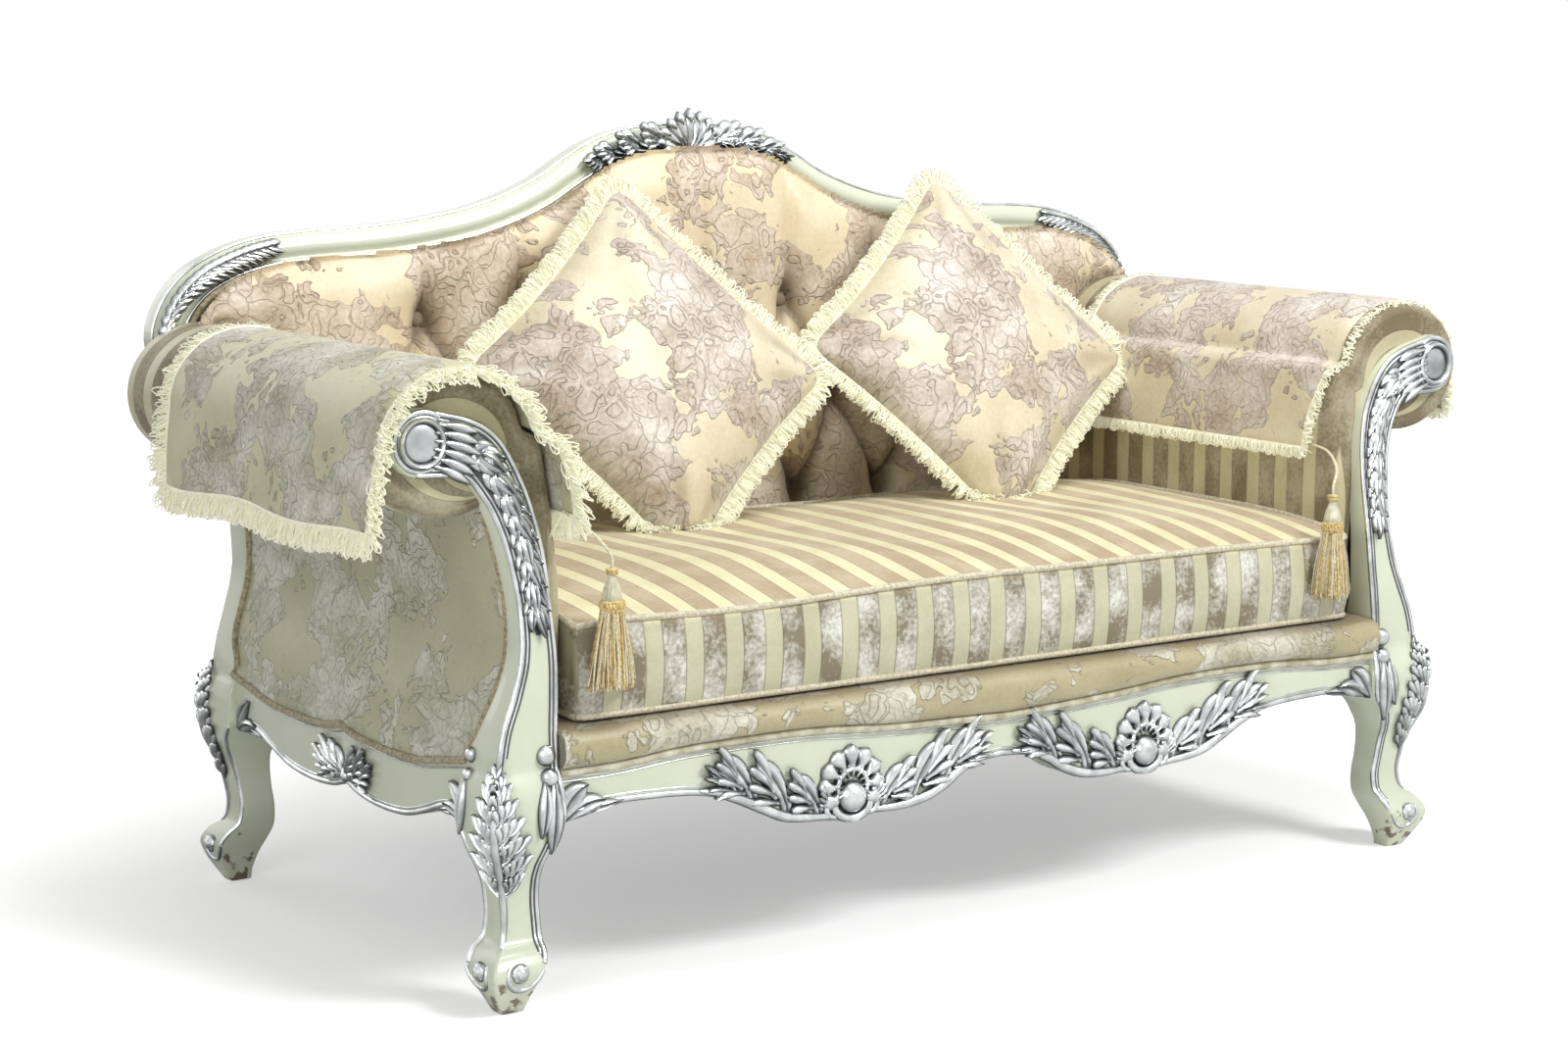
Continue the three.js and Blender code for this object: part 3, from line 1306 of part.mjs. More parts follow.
// Upholstery
addPiece('seat_webbing', seatWebbing(), webbingJute);
addPiece('dust_cover', dustCover(), cambric);
addPiece('seat_deck', seatDeck(), damask);
addPiece('back_upholstery', backUpholstery(), damask);
addPiece('back_webbing', backWebbing(), webbingJute);
addPiece('outside_back', outsideBack(), damask);
addPair('arm_pad', armPad(), stripe);
addPair('outer_panel', outerPanel(), damask);
addPiece('seat_cushion', seatCushion(), stripe);
addPillow('left', pillowLeftShare);
addPillow('right', pillowRightShare);
addPiece('arm_cover_right', armCover(coverRight), damask);
addPiece('arm_cover_left', armCover(coverLeft), damask).scale.x = -1;

// The frame, seat and covers stand centred on the origin
const bounds = new THREE.Box3().setFromObject(sofa);
sofa.position.y = -(bounds.min.y + bounds.max.y) / 2;

[-1, 1].forEach((side) => {
  const name = side < 0 ? 'left' : 'right';
  const cover = side < 0 ? coverLeft : coverRight;
  const place = tasselPlace(cover, side < 0 ? tasselLeft : tasselRight, side);
  addPiece(`tassel_${name}`, tassel(place), tasselSilk);
  addPiece(`tassel_cord_${name}`, tasselCord(cordPath(cover, place, side)), tasselSilk);
});

export default sofa;
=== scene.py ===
import math

import bmesh
import bpy
import numpy as np
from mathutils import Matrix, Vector


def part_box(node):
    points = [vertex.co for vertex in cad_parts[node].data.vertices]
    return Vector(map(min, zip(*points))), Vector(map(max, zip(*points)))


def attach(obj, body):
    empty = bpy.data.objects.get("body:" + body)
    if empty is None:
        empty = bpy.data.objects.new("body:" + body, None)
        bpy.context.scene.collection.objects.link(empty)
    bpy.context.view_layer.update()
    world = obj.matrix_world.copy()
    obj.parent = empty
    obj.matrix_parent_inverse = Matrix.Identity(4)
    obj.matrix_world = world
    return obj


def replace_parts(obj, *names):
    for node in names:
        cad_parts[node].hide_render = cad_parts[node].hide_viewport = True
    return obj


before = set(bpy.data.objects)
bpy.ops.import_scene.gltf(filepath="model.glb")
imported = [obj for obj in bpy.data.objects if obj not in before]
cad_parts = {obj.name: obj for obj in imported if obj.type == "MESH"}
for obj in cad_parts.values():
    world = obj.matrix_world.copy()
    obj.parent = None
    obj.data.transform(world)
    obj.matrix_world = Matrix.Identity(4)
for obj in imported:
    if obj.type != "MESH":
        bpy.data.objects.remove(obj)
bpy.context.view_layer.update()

# The sofa's drawing is in millimetres, with the frame's middle 5 mm in front of the row's origin
MM = 0.001
CENTRE_Y = 5.0

# Posts
POST_X = 770.0
POST_FRONT = 415.0
POST_REAR = 405.0
BLOCK_WIDTH = 86.0
BLOCK_DEPTH = 80.0
LEG_HEIGHT = 304.0
LEG_REACH = 20.0
NECK_WIDTH = 46.0
FACING_DEPTH = 28.0
FACING_LEAN = 47.0
SCROLL_X = 840.0
SCROLL_Z = 706.0
SCROLL_RADIUS = 42.0
STILE_DEPTH = 50.0
STILE_WIDTH = 50.0
STILE_SPREAD = 12.0
STILE_TOP = 600.0
BACK_MARK = 1000.0  # stands for a post's back until its depth is known
LEG_OUTER = [(-0.35, 0), (0.2, 0.06), (0.62, 0.115), (0.85, 0.18), (0.3, 0.245), (-0.45, 0.285), (-0.72, 0.36),
             (-0.62, 0.45), (-0.35, 0.54), (0, 0.6), (0.5, 0.69), (0.68, 0.8), (0.55, 0.9), (0, 1)]
LEG_INNER = [(-0.45, 0), (-0.47, 0.045), (-0.56, 0.13), (-0.67, 0.2), (-0.75, 0.26), (-0.765, 0.36),
             (-0.735, 0.44), (-0.72, 0.53), (-0.735, 0.6), (-0.8, 0.66), (-0.88, 0.715), (-1, 0.76), (-1, 1)]
FACING_FRONT = [(0, -0.06, 1, 0), (0, 0, 1, 0), (-0.035, 0.1, 0.8, 0), (-0.12, 0.21, 0.43, 0),
                (-0.19, 0.32, 0.15, 0), (-0.204, 0.468, 0, 0), (-0.177, 0.603, 0, 0.1), (-0.106, 0.727, 0, 0.2),
                (0.053, 0.85, 0, 0.36), (0.354, 0.96, 0, 0.58), (1, 1, 0, 1)]
FACING_SIDE = [(0, 0, 1), (0.035, 0, 0.93), (0.09, 0.02, 0.62), (0.195, 0.07, 0.35), (0.33, 0.2, 0.2),
               (0.455, 0.41, 0.14), (0.575, 0.63, 0.12), (0.69, 0.84, 0.07), (0.78, 0.97, 0.02), (0.83, 1, 0)]
STILE_SIDE = [(0, 1), (0.04, 0.93), (0.1, 0.4), (0.16, 0.1), (0.22, 0)]

# Rails
RAIL_END = POST_X - BLOCK_WIDTH - 0.3
RAIL_SETBACK = 4.0
RAIL_BOW = 7.0
RAIL_THICKNESS = 38.0
APRON_LOW = 175.0
SIDE_LOW = 198.0
TRIM_DROP = 24.0
APRON_EDGE = [(0, 0.43), (0.06, 0.4), (0.11, 0.3), (0.153, 0.165), (0.205, 0.07), (0.256, 0.04), (0.31, 0.04),
              (0.365, 0.015), (0.42, 0.04), (0.505, 0.095), (0.563, 0.22), (0.62, 0.36), (0.7, 0.49),
              (0.8, 0.53), (0.9, 0.53), (0.958, 0.48), (1, 0.435)]
SIDE_EDGE = [(0, 0.15), (0.12, 0.05), (0.3, 0.01), (0.5, 0.05), (0.65, 0.17), (0.82, 0.34), (0.92, 0.37), (1, 0.34)]
FRONT_TRIM = [(0, 0.85), (0.25, 0.6), (0.5, 0.15), (0.7, 0.18), (0.9, 0.55), (1, 0.55)]
SIDE_TRIM = [(0, 0.5), (0.15, 0.85), (0.4, 0.98), (0.6, 0.9), (0.85, 0.35), (1, 0)]

# Back and arms
DECK_TOP = 350.0
SEAT_BASE = 309.3
BACK_FRONT = 355.0
TOP_RAIL_HALF = 838.0
TOP_RAIL_HEIGHT = 1032.0
TOP_RAIL = [(0.864, 0.57), (0.872, 0.592), (0.888, 0.63), (0.925, 0.668), (0.972, 0.703), (1, 0.744), (0.988, 0.783),
            (0.949, 0.82), (0.889, 0.846), (0.823, 0.86), (0.74, 0.866), (0.613, 0.87), (0.519, 0.878),
            (0.437, 0.889), (0.362, 0.906), (0.29, 0.93), (0.233, 0.957), (0.179, 0.98), (0.119, 0.994),
            (0.06, 0.999), (0, 1)]
BACK_SEAT_FACE = 252.0
BACK_TOP_FACE = 322.0
BACK_REAR = 346.0
BACK_RIM = 60.0
TUFT_X = 156.0
TUFT_Z = 145.0
TUFT_LOW = 495.0
ARM_INNER = 650.0
ROLL_X = 797.0
ROLL_Z = 703.0
ROLL_HALF_WIDTH = 108.0
ROLL_HALF_HEIGHT = 94.0
ARM_LINE = [(0, 0), (-0.01, 0.3), (-0.015, 0.45), (0, 0.64), (0.06, 0.78), (0.19, 0.9), (0.37, 1)]
PANEL_INSET = 5.0
FAR = 1e3

# Loose pieces
CUSHION_HALF = 646.0
CUSHION_FRONT = 400.0
CUSHION_REAR = 240.0
CUSHION_CORNER = 466.0
CUSHION_MIDDLE = (CUSHION_REAR - CUSHION_FRONT) / 2
PILLOW_HALF = 191.0
PILLOW_LEAN = 27.0
PILLOW_FOOT = (1, -1)
PILLOWS = {"left": (-200.9, 140.0, 5.0), "right": (372.7, 140.0, 5.0)}
TASSEL_Y = 424.0


# Curves and readings

def smooth(points, steps):
    """A centripetal curve through the points, with the same number of steps between each two."""
    knots = np.asarray(points, float)
    ends = np.vstack([2 * knots[0] - knots[1], knots, 2 * knots[-1] - knots[-2]])
    rows = []
    for i in range(len(knots) - 1):
        a, b, c, d = ends[i:i + 4]
        da, db, dc = (max(np.linalg.norm(q - p) ** 0.5, 1e-4) for p, q in ((a, b), (b, c), (c, d)))
        start = ((b - a) / da - (c - a) / (da + db) + (c - b) / db) * db
        end = ((c - b) / db - (d - b) / (db + dc) + (d - c) / dc) * db
        t = np.arange(steps)[:, None] / steps
        square, cube = -3 * b + 3 * c - 2 * start - end, 2 * b - 2 * c + start + end
        rows.append(b + start * t + square * t ** 2 + cube * t ** 3)
    rows.append(knots[-1:])
    return np.vstack(rows)


def evened(points, spacing):
    """The same line with its points an even distance apart."""
    points = np.asarray(points, float)
    run = np.concatenate([[0], np.cumsum(np.linalg.norm(np.diff(points, axis=0), axis=1))])
    at = np.linspace(0, run[-1], max(int(round(run[-1] / spacing)), 2) + 1)
    return np.column_stack([np.interp(at, run, points[:, k]) for k in range(points.shape[1])])


def reading(table, key):
    table = np.asarray(table, float)
    return np.interp(key, table[:, 0], table[:, 1])


def eased(share):
    s = np.clip(share, 0, 1)
    return s * s * (3 - 2 * s)


OUTER_CURVE = smooth([(up * LEG_HEIGHT, out * LEG_REACH) for out, up in LEG_OUTER], 8)
INNER_CURVE = smooth([(up * LEG_HEIGHT, s) for s, up in LEG_INNER], 8)
FACING_RISE = SCROLL_Z + SCROLL_RADIUS - LEG_HEIGHT
SIDE_CURVE = smooth(FACING_SIDE, 10)
STILE_CURVE = smooth(STILE_SIDE, 8)
BLOCK_X = POST_X - BLOCK_WIDTH / 2
FACING_CURVE = smooth([(BLOCK_X + across * (SCROLL_X - BLOCK_X), LEG_HEIGHT + up * (SCROLL_Z - LEG_HEIGHT),
                        NECK_WIDTH + low * (BLOCK_WIDTH - NECK_WIDTH) + high * (2 * SCROLL_RADIUS - NECK_WIDTH))
                       for across, up, low, high in FACING_FRONT], 10)


def leg_out(z):
    return reading(OUTER_CURVE, z)


def facing_share(z, column):
    """A column of the facing's side curve at a height."""
    return np.interp((z - LEG_HEIGHT) / FACING_RISE, SIDE_CURVE[:, 0], SIDE_CURVE[:, column])


def facing_front(z):
    """Distance of the facing's front from the middle of the frame, at a height."""
    z = np.asarray(z, float)
    return np.where(z < LEG_HEIGHT, POST_FRONT + leg_out(z), POST_FRONT - FACING_LEAN * facing_share(z, 1))


def facing_back(z):
    z = np.asarray(z, float)
    above = facing_front(np.maximum(z, LEG_HEIGHT)) - FACING_DEPTH - (BLOCK_DEPTH - FACING_DEPTH) * facing_share(z, 2)
    return np.where(z < LEG_HEIGHT, POST_FRONT + reading(INNER_CURVE, z) * BLOCK_DEPTH, above)


def stile_front(z):
    flare = reading(STILE_CURVE, (np.asarray(z, float) - LEG_HEIGHT) / FACING_RISE)
    return POST_REAR - STILE_DEPTH - (BLOCK_DEPTH - STILE_DEPTH) * flare


def rail_face(x):
    return -(POST_FRONT - RAIL_SETBACK + RAIL_BOW * np.cos(np.minimum(np.abs(x) / RAIL_END, 1) * math.pi / 2))


def apron_edge(x):
    return APRON_LOW + (LEG_HEIGHT - APRON_LOW) * reading(smooth(APRON_EDGE, 6), np.abs(x) / RAIL_END)


def front_trim(x):
    return LEG_HEIGHT - TRIM_DROP * reading(smooth(FRONT_TRIM, 8), np.abs(x) / RAIL_END)


SIDE_FRONT = -(POST_FRONT - BLOCK_DEPTH - 0.3)
SIDE_REAR = POST_REAR - BLOCK_DEPTH - 0.3
SIDE_MIDDLE = (SIDE_FRONT + SIDE_REAR) / 2
SIDE_HALF = (SIDE_REAR - SIDE_FRONT) / 2
SIDE_FACE = POST_X - RAIL_SETBACK


def side_share(y):
    return np.minimum(np.abs(np.asarray(y, float) - SIDE_MIDDLE) / SIDE_HALF, 1)


def side_edge(y):
    return SIDE_LOW + (LEG_HEIGHT - SIDE_LOW) * reading(smooth(SIDE_EDGE, 8), side_share(y))


def side_trim(y):
    return LEG_HEIGHT - TRIM_DROP * reading(smooth(SIDE_TRIM, 8), side_share(y))


def top_rail_line():
    half = [(across * TOP_RAIL_HALF, up * TOP_RAIL_HEIGHT) for across, up in TOP_RAIL]
    return evened(smooth([(-x, z) for x, z in half] + half[-2::-1], 12), 6.0)


def unit(rows):
    return rows / np.linalg.norm(rows, axis=1)[:, None]


def sideways(line):
    """Unit directions along a line in X and Z, and square to it on its right-hand side."""
    along = unit(np.gradient(line[:, :2], axis=0))
    return along, np.column_stack([along[:, 1], -along[:, 0]])


def arm_line():
    """The arm in section, in X and Z: its inner face, and the roll over it."""
    reach = ROLL_X - ROLL_HALF_WIDTH - ARM_INNER
    inner = smooth([(ARM_INNER + s * reach, SEAT_BASE + up * (ROLL_Z - SEAT_BASE)) for s, up in ARM_LINE], 8)
    turn = np.radians(np.linspace(174, 241 - 360, 90))
    roll = np.column_stack([ROLL_X + ROLL_HALF_WIDTH * np.cos(turn), ROLL_Z + ROLL_HALF_HEIGHT * np.sin(turn)])
    return inner, roll


def facing_outer(z):
    """The facing's outer edge at a height under the scroll."""
    edge = FACING_CURVE[:, :2] + sideways(FACING_CURVE)[1] * FACING_CURVE[:, 2:3] / 2
    keep = FACING_CURVE[:, 1] < 690
    return np.interp(z, edge[keep, 1], edge[keep, 0])


def leaning(ahead, across, angle):
    """Two directions square to each other, turned by an angle from ahead towards across."""
    return ahead * math.cos(angle) + across * math.sin(angle), across * math.cos(angle) - ahead * math.sin(angle)


def steps_along(line):
    return np.linalg.norm(np.diff(line, axis=0), axis=1)


# Making meshes

def new_object(name, mesh):
    obj = bpy.data.objects.new(name, mesh)
    bpy.context.scene.collection.objects.link(obj)
    return obj


def to_row(points):
    """Points of the drawing in the row's frame, in metres."""
    return (np.asarray(points, float) + [0, CENTRE_Y, 0]) * MM


def piece(name, points, faces, finish, body, slot=None, smooth_angle=40, uv=None, recess=None, close=True):
    """A finished piece from points in millimetres. A painted light value per point paints shade into its hollows; on
    the cushion it marks the top that is painted as lit.
    """
    mesh = bpy.data.meshes.new(name)
    mesh.from_pydata(to_row(points).tolist(), [], [tuple(int(i) for i in f) for f in faces])
    if uv is not None:
        layer = mesh.uv_layers.new(name="cloth")
        corners = np.zeros(len(mesh.loops), int)
        mesh.loops.foreach_get("vertex_index", corners)
        layer.data.foreach_set("uv", (np.asarray(uv, float)[corners] * MM).ravel())
    if recess is not None:
        # painted light: the value is stored on the points and darkens or lights the colour in the finishes
        mesh.attributes.new("recess", "FLOAT", "POINT").data.foreach_set("value", np.asarray(recess, float))
    if close:
        shell = bmesh.new()
        shell.from_mesh(mesh)
        bmesh.ops.recalc_face_normals(shell, faces=shell.faces)
        shell.to_mesh(mesh)
        shell.free()
    dress(mesh, finish, smooth_angle)
    return riding(new_object(name, mesh), body)


def riding(obj, body):
    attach(obj, body)
    return obj


def dress(mesh, finish, smooth_angle):
    mesh.materials.clear()
    mesh.materials.append(finish)
    mesh.shade_smooth()
    if smooth_angle < 180:
        mesh.set_sharp_from_angle(angle=math.radians(smooth_angle))


def grid_faces(rows, columns, ring=False, start=0):
    faces = []
    for r in range(rows - 1):
        for c in range(columns if ring else columns - 1):
            a, b = start + r * columns + c, start + r * columns + (c + 1) % columns
            faces.append((a, b, b + columns, a + columns))
    return faces


def skin_faces(rows, columns, ring=True):
    """Faces over rows of points, with a face over each end."""
    ends = [tuple(range(columns)), tuple(range(rows * columns - 1, (rows - 1) * columns - 1, -1))]
    return grid_faces(rows, columns, ring) + ends


def spun_faces(sides, count):
    """Faces round an axis between copies of a profile, with a face over each end."""
    faces = []
    for i in range(sides):
        j = (i + 1) % sides
        for k in range(count - 1):
            faces.append((i * count + k, i * count + k + 1, j * count + k + 1, j * count + k))
    return faces + [tuple(range(k, sides * count, count)) for k in (0, count - 1)]


def loft(name, rings, finish, body, slot=None, **options):
    """A closed skin over rings with the same number of points."""
    rings = np.asarray(rings, float)
    return piece(name, rings.reshape(-1, 3), skin_faces(*rings.shape[:2]), finish, body, slot, **options)


def mirrored(obj, name):
    """The same piece of the frame on the other side of the middle."""
    mesh = obj.data.copy()
    mesh.name = name
    shell = bmesh.new()
    shell.from_mesh(mesh)
    for vertex in shell.verts:
        vertex.co.x = -vertex.co.x
    bmesh.ops.reverse_faces(shell, faces=shell.faces)
    shell.to_mesh(mesh)
    shell.free()
    return riding(new_object(name, mesh), "frame")


def replace_pair(right, left, node):
    """The finished pair stands for the CAD's pair of nodes."""
    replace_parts(right, f"{node}_right")
    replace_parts(left, f"{node}_left")


def joined(name, objects):
    """One piece from several on the same body."""
    shell = bmesh.new()
    for obj in objects:
        shell.from_mesh(obj.data)
    mesh = objects[0].data.copy()
    mesh.name = name
    shell.to_mesh(mesh)
    shell.free()
    objects[0].data = mesh
    objects[0].name = name
    for obj in objects[1:]:
        bpy.data.objects.remove(obj)
    return objects[0]


# Node trees

class Nodes:
    """Short calls for building a node tree."""

    def __init__(self, tree):
        self.tree = tree

    def add(self, kind, *links, put=None, **settings):
        """A new node, with its first inputs fed in their order and others by name."""
        node = self.tree.nodes.new(kind)
        for key, value in settings.items():
            setattr(node, key, value)
        for i, value in enumerate(links):
            self.feed(node.inputs[i], value)
        for label, value in (put or {}).items():
            self.feed(node.inputs[label], value)
        return node

    def take(self, kind, *links, output=0, **settings):
        """One output of a new node."""
        return self.add(kind, *links, **settings).outputs[output]

    def feed(self, socket, value):
        if isinstance(value, bpy.types.NodeSocket):
            self.tree.links.new(value, socket)
        else:
            socket.default_value = value

    def math(self, operation, *values, clamp=False):
        return self.take("ShaderNodeMath", *values, operation=operation, use_clamp=clamp)

    def plus(self, *values):
        return self.math("ADD", *values)

    def times(self, *values):
        return self.math("MULTIPLY", *values)

    def minus(self, *values, clamp=False):
        return self.math("SUBTRACT", *values, clamp=clamp)

    def above(self, value, level, slope):
        """How far a value is above a level, times a slope, held between 0 and 1."""
        return self.math("MULTIPLY", self.minus(value, level), slope, clamp=True)

    def scaled(self, vector, factor):
        return self.take("ShaderNodeVectorMath", vector, operation="SCALE", put={"Scale": factor})

    def noise(self, place, scale, detail=2, roughness=0.5, output=0):
        settings = {"Scale": scale, "Detail": detail, "Roughness": roughness}
        return self.take("ShaderNodeTexNoise", place, output=output, put=settings)

    def place(self, coordinates="Object"):
        return self.take("ShaderNodeTexCoord", output=coordinates)

    def mark(self):
        """The painted light value that a piece carries at each point: painted shade in hollows, and the cushion's
        painted lit top.
        """
        return self.take("ShaderNodeAttribute", attribute_name="recess", output="Fac")

    def circle(self, resolution, radius):
        settings = {"Resolution": resolution, "Radius": radius}
        return self.take("GeometryNodeCurvePrimitiveCircle", put=settings)


def tree_with(name, kind, inputs, outputs, gives):
    """An empty group with its inputs, and with outputs that all give the same kind."""
    tree = bpy.data.node_groups.new(name, kind)
    for label, socket, *value in inputs:
        made = tree.interface.new_socket(name=label, in_out="INPUT", socket_type="NodeSocket" + socket)
        if value:
            made.default_value = value[0]
    for label in outputs:
        tree.interface.new_socket(name=label, in_out="OUTPUT", socket_type="NodeSocket" + gives)
    return Nodes(tree), tree.nodes.new("NodeGroupInput").outputs, tree.nodes.new("NodeGroupOutput").inputs


def growth_tree(name, inputs, output):
    return tree_with(name, "GeometryNodeTree", inputs + [("Finish", "Material")], [output], "Geometry")


def finish_growth(n, given, result, shape):
    """Ends a tree: the shape as real geometry in its finish."""
    real = n.take("GeometryNodeRealizeInstances", shape)
    n.feed(result[0], n.take("GeometryNodeSetMaterial", real, put={"Material": given["Finish"]}))
    return n.tree


def beading_tree():
    """A round bead along every line of the guide."""
    n, given, result = growth_tree("Beading", [
        ("Line", "Geometry"), ("Radius", "Float", 0.002), ("Sides", "Int", 8)], "Bead")
    line = n.take("GeometryNodeMeshToCurve", given["Line"])
    ring = n.circle(given["Sides"], given["Radius"])
    tube = n.take("GeometryNodeCurveToMesh", line, ring, put={"Fill Caps": True})
    return finish_growth(n, given, result, tube)


def fringe_tree():
    """Loops of thread standing out from the guide line along its outward attribute."""
    n, given, result = growth_tree("Loop fringe", [
        ("Line", "Geometry"), ("Spacing", "Float", 0.002), ("Loop length", "Float", 0.024),
        ("Loop width", "Float", 0.007), ("Thread", "Float", 0.0006), ("Spread", "Float", 0.3), ("Seed", "Int", 3)],
        "Fringe")
    seed = {"Seed": given["Seed"]}
    line = n.take("GeometryNodeMeshToCurve", given["Line"])
    even = n.take("GeometryNodeResampleCurve", line, mode="LENGTH", put={"Length": given["Spacing"]})
    size = n.take("ShaderNodeCombineXYZ", given["Loop width"], given["Loop length"], 1.0)
    upright = n.take("GeometryNodeTransform", n.circle(9, 0.5), put={"Scale": size})
    start = n.take("ShaderNodeCombineXYZ", 0.0, 0.0, n.times(given["Loop length"], 0.5))
    loop = n.take("GeometryNodeTransform", upright, put={"Rotation": (math.pi / 2, 0, 0), "Translation": start})
    tube = n.take("GeometryNodeCurveToMesh", loop, n.circle(3, given["Thread"]))
    outward = n.take("GeometryNodeInputNamedAttribute", "outward", data_type="FLOAT_VECTOR")
    jitter = n.take("FunctionNodeRandomValue", (-1, -1, -1), (1, 1, 1), data_type="FLOAT_VECTOR", put=seed)
    sway = n.scaled(jitter, given["Spread"])
    aim = n.take("ShaderNodeVectorMath", outward, sway, operation="ADD")
    lean = n.take("FunctionNodeAlignRotationToVector", axis="Z", put={"Vector": aim})
    spin = n.take("FunctionNodeRandomValue", data_type="FLOAT", output=1, put={2: 0.0, 3: math.pi, **seed})
    roll = n.take("FunctionNodeAxisAngleToRotation", put={"Axis": (0, 0, 1), "Angle": spin})
    both = n.take("FunctionNodeRotateRotation", lean, roll, rotation_space="LOCAL")
    stretch = n.take("FunctionNodeRandomValue", data_type="FLOAT", output=1, put={2: 0.78, 3: 1.08, **seed})
    settings = {"Instance": tube, "Rotation": both, "Scale": stretch}
    return finish_growth(n, given, result, n.take("GeometryNodeInstanceOnPoints", even, put=settings))


def strands_tree():
    """A thread along every line of the guide."""
    n, given, result = growth_tree("Tassel strands", [("Points", "Geometry"), ("Thread", "Float", 0.0009)], "Skirt")
    line = n.take("GeometryNodeMeshToCurve", given["Points"])
    tube = n.take("GeometryNodeCurveToMesh", line, n.circle(3, given["Thread"]))
    return finish_growth(n, given, result, tube)


def buttons_tree():
    """A covered button on each guide point, facing forwards."""
    n, given, result = growth_tree("Covered buttons", [
        ("Points", "Geometry"), ("Radius", "Float", 0.012), ("Height", "Float", 0.5)], "Buttons")
    settings = {"Segments": 20, "Rings": 12, "Radius": given["Radius"]}
    ball = n.take("GeometryNodeMeshUVSphere", put=settings)
    size = n.take("ShaderNodeCombineXYZ", 1.0, given["Height"], 1.0)
    button = n.take("GeometryNodeTransform", ball, put={"Scale": size})
    placed = n.take("GeometryNodeInstanceOnPoints", given["Points"], put={"Instance": button})
    return finish_growth(n, given, result, placed)


def grown(name, tree, points, edges, values, body, slot=None, outward=None):
    """A piece that a node tree grows on a guide of points in millimetres and edges."""
    mesh = bpy.data.meshes.new(name)
    mesh.from_pydata(to_row(points).tolist(), edges, [])
    if outward is not None:
        made = mesh.attributes.new("outward", "FLOAT_VECTOR", "POINT")
        made.data.foreach_set("vector", outward.ravel())
    obj = new_object(name, mesh)
    growth = obj.modifiers.new("growth", "NODES")
    growth.node_group = tree
    for item in tree.interface.items_tree:
        if item.item_type == "SOCKET" and item.in_out == "INPUT" and item.name in values:
            growth[item.identifier] = values[item.name]
    shown = obj.evaluated_get(bpy.context.evaluated_depsgraph_get())
    result = bpy.data.meshes.new_from_object(shown)
    result.name = name
    obj.modifiers.remove(growth)
    obj.data = result
    dress(result, values["Finish"], 180)
    return riding(obj, body)


def guide(lines):
    """Points and edges of several lines together."""
    points, edges = [], []
    for line in lines:
        start = len(points)
        points += [tuple(p) for p in line]
        edges += [(start + i, start + i + 1) for i in range(len(line) - 1)]
    return points, edges


def beads(name, lines, radius, finish, body, slot=None, sides=8):
    values = {"Radius": radius * MM, "Sides": sides, "Finish": finish}
    return grown(name, BEADING, *guide(lines), values, body, slot)


def silver_beads(name, lines, radius, sides=8):
    return beads(name, lines, radius, silver, "frame", "silver_leaf", sides)


def fringe(name, line, outward, body, length, width, spacing, thread, spread):
    """Loop fringe along a line, with the heading that it is sewn on by."""
    values = {"Spacing": spacing * MM, "Loop length": length * MM, "Loop width": width * MM, "Thread": thread * MM,
              "Spread": spread, "Seed": 5, "Finish": fringe_thread}
    loops = grown(name, FRINGE, *guide([line]), values, body, "tassel_silk", unit(outward))
    heading = beads(name + "_heading", [line], 2.0, fringe_thread, body)
    return joined(name, [loops, heading])


# Surface effects and finishes

def shader_group(name, inputs, outputs):
    return tree_with(name, "ShaderNodeTree", inputs, outputs, "Float")


def wear_group():
    """Fine mottling and rubbed spots for painted wood."""
    n, given, result = shader_group("Lacquer wear", [("Position", "Vector"), ("Spots", "Float", 0.5)],
                                    ["Rubbed", "Mottle"])
    height = n.take("ShaderNodeSeparateXYZ", given["Position"], output=2)
    low = n.minus(1.0, n.times(height, 9.0), clamp=True)
    spots = n.plus(n.noise(given["Position"], 55, 4), n.times(low, given["Spots"]))
    n.feed(result["Rubbed"], n.above(spots, 0.78, 14.0))
    n.feed(result["Mottle"], n.noise(given["Position"], 9, 3))
    return n.tree


def damask_group():
    """Large velvet leaves with scalloped edges and pressed veins, on flat coordinates in metres."""
    n, given, result = shader_group("Damask", [("Cloth", "Vector"), ("Repeat", "Float", 0.2)],
                                    ["Velvet", "Relief", "Crush_sheen", "Line"])
    cloth = given["Cloth"]
    spot = n.scaled(cloth, n.math("DIVIDE", 1.0, given["Repeat"]))
    pull = n.scaled(n.noise(spot, 4.6, output="Color"), 0.34)
    drawn = n.take("ShaderNodeVectorMath", spot, pull, operation="ADD")

    def petals(scale, feature="F1"):
        return n.take("ShaderNodeTexVoronoi", drawn, feature=feature, output="Distance", put={"Scale": scale})

    reach = petals(8.5)
    scallops = n.plus(n.times(reach, 0.15), n.times(petals(19), 0.09))
    field = n.minus(n.noise(drawn, 2.1, 2, 0.45), scallops)
    velvet = n.above(field, 0.355, 80.0)
    off_edge = n.math("ABSOLUTE", n.minus(field, 0.355))
    rim = n.minus(1.0, n.times(off_edge, 120.0), clamp=True)
    rings = n.math("PINGPONG", n.times(reach, 3.2), 0.5)
    arcs = n.above(0.12, rings, 12.0)
    seams = n.above(0.05, petals(8.5, "DISTANCE_TO_EDGE"), 26.0)
    where = n.above(n.noise(spot, 2.3, 0), 0.48, 9.0)
    veins = n.times(n.times(seams, where), 0.6)
    pressed = n.math("MAXIMUM", veins, n.times(arcs, n.minus(1.0, where)))
    patches, pile = n.noise(cloth, 11, 4, 0.55), n.noise(cloth, 150, 3, 0.7)
    n.feed(result["Velvet"], velvet)
    n.feed(result["Relief"], n.times(velvet, n.minus(1.0, n.times(pressed, 0.85))))
    n.feed(result["Crush_sheen"], n.plus(n.times(patches, 0.62), n.times(pile, 0.38)))
    n.feed(result["Line"], n.math("MAXIMUM", rim, n.times(n.times(pressed, velvet), 0.34)))
    return n.tree


